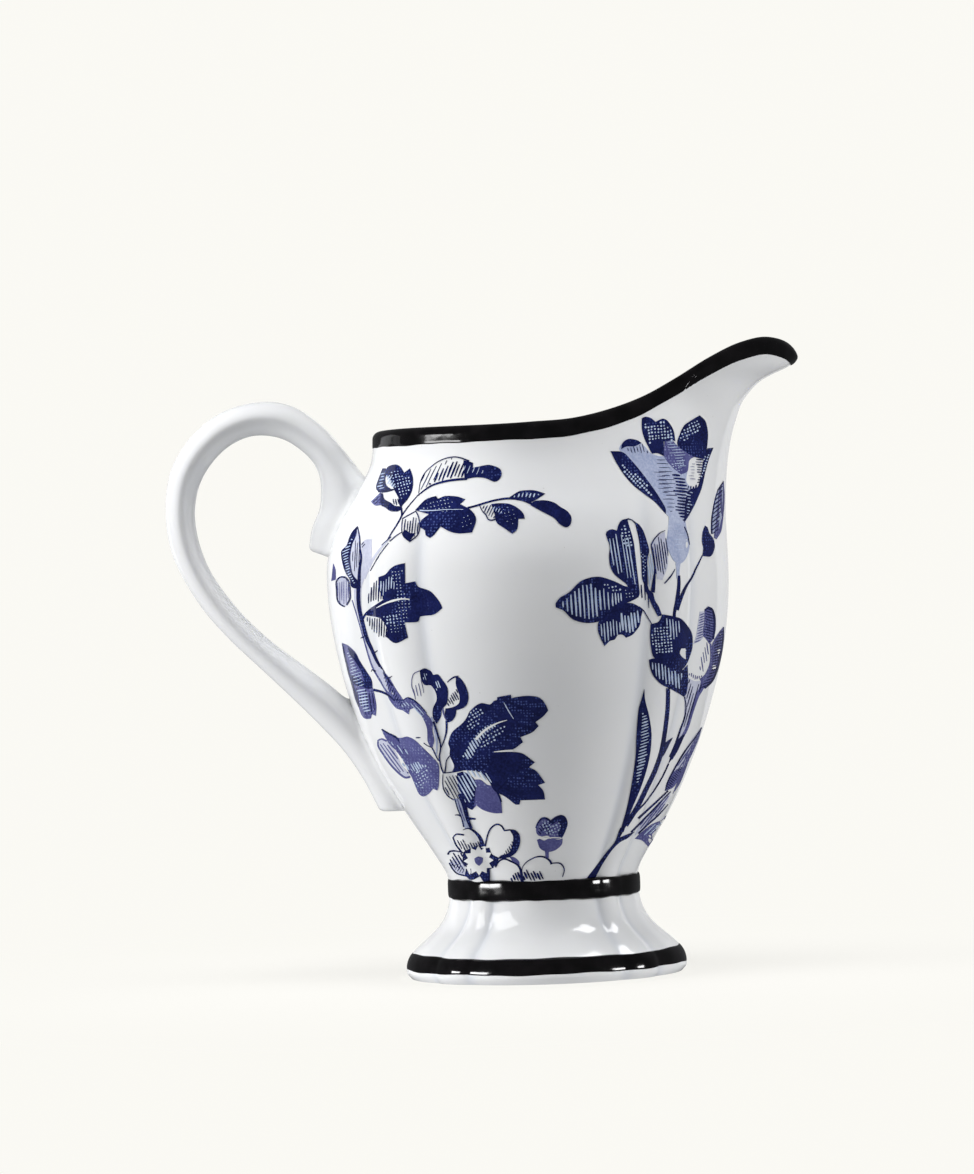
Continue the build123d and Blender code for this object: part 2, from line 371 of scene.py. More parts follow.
def porcelain_glaze():
    """Cool white glaze, clouded a little, bluer and darker in the grooves, where glaze pools and where shade
    is painted, with a few dark specks.
    """
    n = Nodes("porcelain_glaze")
    white = (0.805, 0.812, 0.820, 1)
    cool = (0.755, 0.770, 0.790, 1)
    pooled_and_shaded = (0.560, 0.600, 0.680, 1)
    clouds = n.ramp(n.noise(38.0, 3.0), 0.35, 0.7)
    colour = n.mix(n.math("MULTIPLY", clouds, 0.45), white, cool)
    # the pooled colour is bluer glaze pooling in the grooves, and also painted shade that darkens them
    colour = n.mix(n.math("MULTIPLY", n.attribute("pool_and_shade"), 0.35), colour, pooled_and_shaded)
    speck = n.ramp(n.noise(1400.0, 1.0, 0.4), 0.80, 0.84)
    colour = n.mix(n.math("MULTIPLY", speck, 0.35), colour, (0.32, 0.30, 0.28, 1))
    n.set(Base_Color=colour, Roughness=n.ramp(n.noise(120.0, 2.0), 0.3, 0.7, 0.045, 0.085), IOR=1.52)
    n.set(Subsurface_Weight=0.08, Subsurface_Radius=(0.002, 0.002, 0.0025), Subsurface_Scale=0.6)
    glaze_bumps(n)
    return n.material


def black_enamel():
    """Glossy black enamel with the faint streaks of a banding brush."""
    n = Nodes("black_enamel")
    streaks = n.ramp(n.noise(260.0, 3.0), 0.35, 0.75)
    colour = n.mix(streaks, (0.0012, 0.0010, 0.0012, 1), (0.0050, 0.0042, 0.0050, 1))
    n.set(Base_Color=colour, Roughness=n.ramp(n.noise(300.0, 2.0), 0.3, 0.7, 0.06, 0.14), IOR=1.5)
    n.bump([(n.noise(180.0, 2.0), 0.0003, 0.25), (n.noise(1200.0, 1.0), 0.00002, 0.3)])
    return n.material


def transfer_print(name, dark, light, dots=None):
    """Blue print under the glaze: stippled between two tones, with patches of paler engraver's dots."""
    n = Nodes(name)
    stipple = n.ramp(n.noise(2200.0, 2.0, 0.6), 0.38, 0.66)
    cloud = n.ramp(n.noise(240.0, 3.0, 0.6), 0.35, 0.70)
    colour = n.mix(n.math("MULTIPLY", n.math("ADD", stipple, cloud), 0.5), (*dark, 1), (*light, 1))
    if dots:
        cells = {"Scale": 1750.0, "Randomness": 0.35, "Vector": n.place()}
        distance = n.add("ShaderNodeTexVoronoi", cells).outputs["Distance"]
        dot = n.ramp(distance, 0.24, 0.40, 1.0, 0.0)
        patch = n.ramp(n.noise(170.0, 1.0), 0.44, 0.56)
        colour = n.mix(n.math("MULTIPLY", dot, patch), colour, (*dots, 1))
    n.set(Base_Color=colour, Roughness=n.ramp(n.noise(120.0, 2.0), 0.3, 0.7, 0.05, 0.09), IOR=1.52)
    glaze_bumps(n)
    return n.material


PORCELAIN = porcelain_glaze()
ENAMEL = black_enamel()
# The wash and pale tones, and some mid fills, are paler print and also painted reflection: the sheen of the
# softboxes and of the bright floor over the print is painted in as paler, lilac tones.
PRINT_MATERIALS = {
    "wash": transfer_print("lilac_wash_and_reflection", (0.47, 0.49, 0.63), (0.60, 0.62, 0.73)),
    "pale": transfer_print("blue_wash_and_reflection", (0.32, 0.37, 0.56), (0.50, 0.55, 0.70)),
    "mid": transfer_print("blue_mid", (0.065, 0.066, 0.205), (0.115, 0.120, 0.305), (0.22, 0.25, 0.44)),
    "ink": transfer_print("blue_ink", (0.003, 0.005, 0.042), (0.010, 0.016, 0.105), (0.05, 0.075, 0.25)),
    "light": transfer_print("blue_light", (0.40, 0.50, 0.70), (0.58, 0.66, 0.80)),
    "reserve": PORCELAIN,
}
PRINT_MATERIALS["eye"] = PRINT_MATERIALS["mid"]

# ---------------------------------------------------------------- the blue flower print: how it is laid

# The print is drawn in the plane y = 0 as (x, z) points, and carried onto the bowl along lines from this eye.
EYE = np.array([-9.6, -950.0, 77.0])
PAST_TIP = 60.0
DRAW = np.random.default_rng(7)
LIFT = {"wash": 0.05, "pale": 0.06, "mid": 0.075, "ink": 0.09, "light": 0.115, "reserve": 0.125, "eye": 0.145}
BURIED = 0.05
EDGE_STEP = 0.40
FILL_STEP = 0.85
CORNER = math.radians(62)
SHORTEST_LINE = 0.35
LINE_BOW = 0.16
LINE_TAPER = 0.55
DOT_CORNERS = 6
BACK_LIMIT = 0.97  # a motif that wraps further round than this is not mirrored on the back


def front_around(x, z):
    """Where on the front a point of the bowl at x lies: -1 at the handle, 0 at the front, 1 at the lip."""
    low = np.full(x.shape, -1.0)
    high = np.full(x.shape, 1.0)
    for _ in range(26):
        middle = (low + high) / 2
        short = bowl_point(middle, z)[..., 0] < x
        low = np.where(short, middle, low)
        high = np.where(short, high, middle)
    over = np.maximum(x - bowl_point(np.ones(x.shape), z)[..., 0], 0)
    under = np.maximum(bowl_point(-np.ones(x.shape), z)[..., 0] - x, 0)
    return (low + high) / 2 + (over - under) / PAST_TIP


def onto_bowl(drawing):
    """Carry drawn points onto the bowl, as (around, z)."""
    x, z = np.asarray(drawing, float).T
    y = np.full(x.shape, -25.0)
    for _ in range(5):
        reach = (y - EYE[1]) / -EYE[1]
        real_z = EYE[2] + (z - EYE[2]) * reach
        around = front_around(EYE[0] + (x - EYE[0]) * reach, real_z)
        y = bowl_point(around, real_z)[..., 1]
    return around, real_z


def bowl_normals(around, z):
    """Outward normals of the bowl's outside."""
    ahead = bowl_point(around + 0.004, z) - bowl_point(around - 0.004, z)
    up = bowl_point(around, z + 0.2) - bowl_point(around, z - 0.2)
    normal = np.cross(ahead, up)
    return normal / np.linalg.norm(normal, axis=-1, keepdims=True)


def smooth_path(points, closed):
    """A smooth line through drawn points, which keeps the sharp corners among them."""
    points = np.asarray(points, float)
    count = len(points)
    before, after = np.roll(points, 1, 0), np.roll(points, -1, 0)
    if not closed:
        before[0], after[-1] = points[0], points[-1]
    come, go = points - before, after - points
    turn = np.arctan2(come[:, 0] * go[:, 1] - come[:, 1] * go[:, 0], (come * go).sum(1))
    sharp = np.abs(turn) > CORNER
    line = []
    for i in range(count if closed else count - 1):
        j = (i + 1) % count
        straight = points[j] - points[i]
        length = np.linalg.norm(straight)
        t = np.linspace(0, 1, max(1, round(length / EDGE_STEP)) + 1)[:-1, None]
        ends = []
        for k in (i, j):
            slope = (after[k] - before[k]) / 2
            size = np.linalg.norm(slope)
            ends.append(straight if sharp[k] or size == 0 else slope * min(1.0, length / size))
        rise = t * t * (3 - 2 * t)
        bend = ends[0] * t * (1 - t) ** 2 - ends[1] * t * t * (1 - t)
        line.append(points[i] * (1 - rise) + points[j] * rise + bend)
    if not closed:
        line.append(points[-1:])
    return np.concatenate(line)


def inside(points, outline):
    """Which points lie inside a closed outline."""
    x, z = points[:, 0, None], points[:, 1, None]
    ax, az = outline.T
    bx, bz = np.roll(ax, -1), np.roll(az, -1)
    spans = (az > z) != (bz > z)
    rise = np.where(bz == az, 1e-9, bz - az)
    return (spans & (x < ax + (z - az) * (bx - ax) / rise)).sum(1) % 2 == 1


def clipped_lines(outline, angle, gap):
    """Parallel lines across an outline, each as its two end points."""
    turn = math.radians(angle)
    along = np.array([math.cos(turn), math.sin(turn)])
    across = np.array([-along[1], along[0]])
    u, v = outline @ along, outline @ across
    lines = []
    for level in np.arange(v.min() + gap * 0.5, v.max(), gap):
        cuts = []
        for i in range(len(outline)):
            j = (i + 1) % len(outline)
            if (v[i] > level) != (v[j] > level):
                cuts.append(u[i] + (level - v[i]) / (v[j] - v[i]) * (u[j] - u[i]))
        cuts.sort()
        for start, end in zip(cuts[::2], cuts[1::2]):
            lines.append((along * start + across * level, along * end + across * level))
    return lines


class Shells:
    """Closed shells of one tone of the print, which make one piece."""

    def __init__(self, tone):
        self.tone = tone
        self.drawn = []
        self.tops = []
        self.count = 0

    def shell(self, drawing, faces):
        """Add a shell over drawn points, whose top has the given faces."""
        self.tops += [tuple(self.count + i for i in face) for face in faces]
        self.drawn.append(drawing)
        self.count += len(drawing)

    def on_jug(self):
        """Lay the shells on the front: their points, their faces, and how far round the jug they reach."""
        around, z = onto_bowl(np.concatenate(self.drawn))
        point, normal = bowl_point(around, z), bowl_normals(around, z)
        vertices = np.concatenate([point + normal * LIFT[self.tone], point - normal * BURIED])
        count = self.count
        edges = {(a, b) for face in self.tops for a, b in zip(face, face[1:] + face[:1])}
        faces = self.tops + [tuple(count + i for i in reversed(face)) for face in self.tops]
        faces += [(b, a, count + a, count + b) for a, b in sorted(edges) if (b, a) not in edges]
        return vertices, faces, np.abs(around).max()

    def fill(self, outline):
        """A closed outline, filled with a mesh fine enough to follow the glaze."""
        edge = smooth_path(outline, closed=True)
        low, high = edge.min(0), edge.max(0)
        steps = [np.arange(low[i], high[i], FILL_STEP) for i in (0, 1)]
        grid = np.stack(np.meshgrid(*steps), -1).reshape(-1, 2)
        grid = grid[inside(grid, edge)]
        if len(grid):
            grid = grid[np.linalg.norm(grid[:, None] - edge[None], axis=-1).min(1) > FILL_STEP * 0.4]
        points = [Vector(p) for p in np.concatenate([edge, grid])]
        ring = list(range(len(edge)))
        found = delaunay_2d_cdt(points, list(zip(ring, ring[1:] + ring[:1])), [ring], 1, 1e-5)
        self.shell(np.array([tuple(p) for p in found[0]]), [tuple(face) for face in found[2]])

    def stroke(self, points, start, middle, end):
        """A drawn line whose width goes from start, by middle, to end."""
        line = smooth_path(points, closed=False)
        width = np.interp(np.linspace(0, 1, len(line)), (0, 0.5, 1), (start, middle, end))
        direction = np.gradient(line, axis=0)
        direction = direction / np.linalg.norm(direction, axis=1, keepdims=True)
        across = np.column_stack([-direction[:, 1], direction[:, 0]]) * width[:, None] / 2
        n = len(line)
        self.shell(np.concatenate([line + across, line - across]),
                   [(n + i, n + i + 1, i + 1, i) for i in range(n - 1)])

    def lines(self, outline, angle, gap, width, ragged=0.12):
        """Engraved lines across an outline, a little uneven in length, weight and place."""
        for start, end in clipped_lines(smooth_path(outline, closed=True), angle, gap):
            along = end - start
            length = np.linalg.norm(along)
            if length < SHORTEST_LINE:
                continue
            from_share, to_share, bow, weight = DRAW.random(4)
            start, end = start + along * ragged * from_share, end - along * ragged * to_share
            across = np.array([-along[1], along[0]]) / length
            middle = (start + end) / 2 + across * gap * LINE_BOW * (bow - 0.5)
            weight = width * (0.8 + 0.4 * weight)
            self.stroke([start, middle, end], weight * LINE_TAPER, weight, weight * LINE_TAPER)

    def dots(self, outline, angle, gap, size):
        """A net of small dots inside an outline."""
        edge = smooth_path(outline, closed=True)
        turn = math.radians(angle)
        along = np.array([math.cos(turn), math.sin(turn)])
        across = np.array([-along[1], along[0]])
        reach = int(np.ptp(edge, axis=0).max() / gap) + 1
        steps = np.arange(-reach, reach + 1)
        net = edge.mean(0) + gap * (steps[:, None, None] * along + steps[None, :, None] * across)
        net = net.reshape(-1, 2)
        net = net[inside(net, edge)]
        corners = np.arange(DOT_CORNERS) * math.tau / DOT_CORNERS
        for centre in net + DRAW.normal(0, gap * 0.07, net.shape):
            radius = size / 2 * (0.75 + 0.5 * DRAW.random())
            ring = centre + np.column_stack([np.cos(corners), np.sin(corners)]) * radius
            self.shell(ring, [tuple(range(DOT_CORNERS))])

    def star(self, centre, outer, inner, points):
        """A pointed star, for the middle of a flower."""
        turn = np.arange(2 * points) * math.pi / points
        radius = np.where(np.arange(2 * points) % 2, inner, outer)
        self.fill(np.asarray(centre) + np.column_stack([np.cos(turn), np.sin(turn)]) * radius[:, None])


# ---------------------------------------------------------------- the clay pieces

AROUND = np.arange(320) / 80.0
TURN = AROUND * math.pi / 2
SHARE = np.abs(np.mod(AROUND + 1.0, 2.0) - 1.0)
LIP_ROUNDING = 1.35
POOL_AND_SHADE_FADE = (98, 14)  # glaze pools, and shade is painted, in the bowl's grooves below this height, fading in over this far
HANDLE_CAP = 1.0
CAP_INSET = 0.30
HANDLE_KEEL = 1.18
HANDLE_SEAT = 1.2
HANDLE_SIDE = (2.4, 3.6)
JOIN_RADIUS = 1.7
BAND_PROUD = 0.09
BAND_EDGE = 0.015
BAND_SHOULDER = 0.07
BAND_BURIED = 0.06
RIM_BAND_DROP = 3.3
RIM_BAND_INSIDE = 2.2
LIP_WIDENING = 0.35  # the rim band is this much wider at the lip
FOOT_BAND = (1.9, 5.0)
WAIST_HALF_HEIGHT = 2.05
WAIST_GROOVES = 0.15
WAIST_EDGE = 0.12
WAIST_CROWN = 0.38
WAIST_BURIED = 1.2


def groove_pool_and_shade(rows, width):
    """How much pooled glaze and painted shade each point of so many rows gets: most at the grooves' bottoms.
    """
    near = np.minimum(abs(SHARE - FIRST_GROOVE), abs(SHARE - SECOND_GROOVE))
    return np.exp(-((near / width) ** 2)) * np.ones((rows, 1))


def over_rim():
    """Rows of the bowl's rounded rim, from the outside to the inside."""
    rows = []
    for turn in np.linspace(0, math.pi, 13)[1:-1]:
        across = (1 - math.cos(turn)) / 2
        height = rim_height(AROUND, across, LIP_ROUNDING * (1 - math.sin(turn)))
        rows.append(wall_point(AROUND, height, np.full(AROUND.shape, across)))
    return rows


def make_bowl():
    """The bowl as one skin: up the outside, over the rounded rim, down the inside and across the floor."""
    outside_top = rim_height(AROUND, 0.0, LIP_ROUNDING)
    inside_top = rim_height(AROUND, 1.0, LIP_ROUNDING)
    rows = []
    for v in np.linspace(0, 1, 104):
        rows.append(bowl_point(AROUND, WAIST + (outside_top - WAIST) * v))
    rows += over_rim()
    for v in np.linspace(0, 1, 64):
        rows.append(hollow_point(AROUND, inside_top + (BOWL_FLOOR - inside_top) * v))
    centre = rows[-1].mean(0)
    for shrink in (0.92, 0.75, 0.5, 0.25):
        row = centre + (rows[-1] - centre) * shrink
        rows.append(np.column_stack([row[:, :2], np.full(len(row), BOWL_FLOOR - 0.5 * (1 - shrink))]))
    grid = np.array(rows)
    bowl = tube("bowl", grid, [PORCELAIN])
    top, fade = POOL_AND_SHADE_FADE
    # painted shade, with pooled glaze, along the bowl's grooves
    pool_and_shade = groove_pool_and_shade(len(grid), 0.022) * np.clip((top - grid[:, :, 2]) / fade, 0, 1)
    set_attribute(bowl, "pool_and_shade", np.append(pool_and_shade.ravel(), [0, 0]))
    return bowl


def make_foot():
    """The foot: from the crown of its hollow, down and out over the standing ring, and up to the waist."""
    hollow = smooth_table(FOOT_HOLLOW)
    circle = np.stack([np.sin(TURN), -np.cos(TURN)], -1)
    rows = []
    for z in np.concatenate([np.linspace(12.49, 11.5, 8), np.linspace(11.0, 0.7, 22)]):
        flat = circle * hollow(z)[0] + (FOOT_CENTRE_X, 0)
        rows.append(np.column_stack([flat, np.full(len(AROUND), z)]))
    inner = FOOT_HOLLOW[0][1] + 0.3
    outer = foot_point(AROUND, np.zeros(len(AROUND)))
    inner_ring = np.column_stack([circle * inner + (FOOT_CENTRE_X, 0), np.full(len(AROUND), 0.12)])
    rows.append(inner_ring)
    for across in (0.15, 0.5, 0.85):
        row = inner_ring + (outer - inner_ring) * across
        row[:, 2] = 0.0
        rows.append(row)
    hidden = len(rows) + 1
    for z in np.concatenate([[0.0, 0.12, 0.35, 0.7], np.linspace(1.1, FOOT[-1][0], 44)]):
        rows.append(foot_point(AROUND, np.full(len(AROUND), z)))
    grid = np.array(rows)
    foot = tube("foot_clay", grid, [PORCELAIN])
    # painted shade, with pooled glaze, along the foot's grooves
    pool_and_shade = groove_pool_and_shade(len(grid), 0.03)
    pool_and_shade[:hidden] = 0
    set_attribute(foot, "pool_and_shade", np.append(pool_and_shade.ravel(), [0, 0]))
    return foot


def seated(grid):
    """The handle's grid with a fillet where it meets the bowl, and no point deeper than its wall."""
    middle = grid.mean(1, keepdims=True)
    outward = grid - middle
    outward /= np.linalg.norm(outward, axis=-1, keepdims=True)
    turn = np.linspace(*HANDLE_SIDE, 120)
    points = grid.reshape(-1, 3)
    sections = bowl_point(turn[None, :], np.maximum(points[:, 2:], WAIST))
    gap = np.linalg.norm(sections[:, :, :2] - points[:, None, :2], axis=-1)
    nearest = sections[np.arange(len(points)), gap.argmin(1)]
    away = nearest[:, :2] / np.linalg.norm(nearest[:, :2], axis=-1, keepdims=True)
    height = ((points[:, :2] - nearest[:, :2]) * away).sum(-1)
    fillet = np.clip(JOIN_RADIUS - height, 0, JOIN_RADIUS)
    flare = JOIN_RADIUS - np.sqrt(JOIN_RADIUS**2 - fillet**2)
    sideways = outward.reshape(-1, 3).copy()
    sideways[:, :2] -= away * (sideways[:, :2] * away).sum(-1, keepdims=True)
    points = points + sideways * flare[:, None]
    points[:, :2] += away * np.clip(-HANDLE_SEAT - height, 0, None)[:, None]
    return points.reshape(grid.shape)


def make_handle():
    """The loop handle, with a soft keel along each side of its strap and rounded ends."""
    table = np.array(HANDLE)
    middles = (table[:, 0:2] + table[:, 2:4]) / 2
    steps = np.linalg.norm(np.diff(middles, axis=0), axis=1)
    along = np.concatenate([[0], np.cumsum(steps)])
    read = smooth_table(np.column_stack([along, table]))
    t = np.linspace(HANDLE_CAP, along[-1] - HANDLE_CAP, 210)
    rows = read(t)
    inner, outer, width = rows[:, 0:2], rows[:, 2:4], rows[:, 4]
    angle = np.linspace(0, 2 * math.pi, 48, endpoint=False)
    cosine, sine = np.cos(angle), np.sin(angle)
    in_plane = np.sign(cosine) * np.abs(cosine) ** HANDLE_KEEL
    sideways = np.sign(sine) * np.abs(sine) ** HANDLE_KEEL
    middle = (inner + outer) / 2
    half = (outer - inner) / 2
    plane = middle[:, None, :] + half[:, None, :] * in_plane[None, :, None]
    grid = np.stack([plane[..., 0], width[:, None] / 2 * sideways[None, :], plane[..., 1]], -1)
    ends = []
    for end, direction in ((0, -1), (-1, 1)):
        out = middle[end] - middle[end - direction]
        out = out / np.linalg.norm(out)
        caps = []
        for turn in np.linspace(0, math.pi / 2, 6)[1:]:
            centre = grid[end].mean(0)
            inset = 1 - CAP_INSET * (1 - math.cos(turn))
            ring = centre + (grid[end] - centre) * inset
            ring = ring + np.array([out[0], 0, out[1]]) * HANDLE_CAP * math.sin(turn)
            caps.append(ring)
        ends.append(caps)
    grid = np.concatenate([np.array(ends[0][::-1]), grid, np.array(ends[1])])
    grid = seated(grid)
    handle = tube("loop_handle", grid[:, ::-1], [PORCELAIN])
    set_attribute(handle, "pool_and_shade", np.zeros(len(handle.data.vertices)))
    return handle


def brushed_band(name, rows):
    """A band of enamel over rows of a surface, thinner at its edges."""
    proud = np.full(len(rows), BAND_PROUD)
    proud[[0, -1]] = BAND_EDGE
    proud[[1, -2]] = BAND_SHOULDER
    return skin(name, np.array(rows), proud, BAND_BURIED, [ENAMEL])


def make_rim_band():
    """Black enamel over the rim: up the last of the outside, over the lip and a little way down inside."""
    rows = []
    ragged = 0.10 * np.sin(TURN * 5) + 0.06 * np.sin(TURN * 13 + 1.0) + 0.035 * np.sin(TURN * 29 + 2.0)
    wide = LIP_WIDENING * np.exp(-((AROUND - 1.0) / 0.5) ** 2)
    top = rim_height(AROUND, 0.0, LIP_ROUNDING)
    bottom = rim_height(AROUND, 0.0, RIM_BAND_DROP + ragged + wide)
    for v in np.linspace(0, 1, 10):
        rows.append(bowl_point(AROUND, bottom + (top - bottom) * v))
    rows += over_rim()
    top = rim_height(AROUND, 1.0, LIP_ROUNDING)
    bottom = rim_height(AROUND, 1.0, RIM_BAND_INSIDE - ragged)
    for v in np.linspace(0, 1, 5):
        rows.append(hollow_point(AROUND, top + (bottom - top) * v))
    return brushed_band("rim_black", rows)


def make_waist_band():
    """The raised black ring round the waist, with a rounded face."""
    rows = []
    for v in np.linspace(-1, 1, 15):
        z = WAIST + WAIST_HALF_HEIGHT * v
        section = bowl_at(np.array(WAIST)).copy()
        section[:3] += WAIST_EDGE + WAIST_CROWN * math.sqrt(max(0.0, 1 - v**4))
        section[3] = WAIST_GROOVES
        columns = np.broadcast_to(section, (len(AROUND), len(section)))
        ragged = 0.06 * np.sin(TURN * 11 + v) + 0.04 * np.sin(TURN * 26 + 1.0)
        rows.append(section_point(AROUND, z + ragged * abs(v), columns))
    return skin("waist_ring", np.array(rows), np.zeros(len(rows)), WAIST_BURIED, [ENAMEL])


def make_foot_band():
    """Black enamel brushed round the foot, above its white standing edge."""
    rows = []
    low_edge = FOOT_BAND[0] + 0.09 * np.sin(TURN * 7) + 0.05 * np.sin(TURN * 19 + 2.0)
    high_edge = FOOT_BAND[1] + 0.09 * np.sin(TURN * 5 + 1.0) + 0.05 * np.sin(TURN * 17)
    for v in np.linspace(0, 1, 14):
        rows.append(foot_point(AROUND, low_edge + (high_edge - low_edge) * v))
    return brushed_band("foot_black", rows)


PIECES = [
    (make_bowl, "porcelain_glaze", ["body"]),
    (make_foot, "porcelain_glaze", ["foot", "foot_slip"]),
    (make_handle, "porcelain_glaze", ["handle", "handle_top_slip", "handle_bottom_slip"]),
    (make_rim_band, "black_enamel", ["rim_band"]),
    (make_waist_band, "black_enamel", ["waist_band"]),
    (make_foot_band, "black_enamel", ["foot_band"]),
]
for make, slot, nodes in PIECES:
    piece = make()
    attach(piece, "root")
    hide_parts(*nodes)
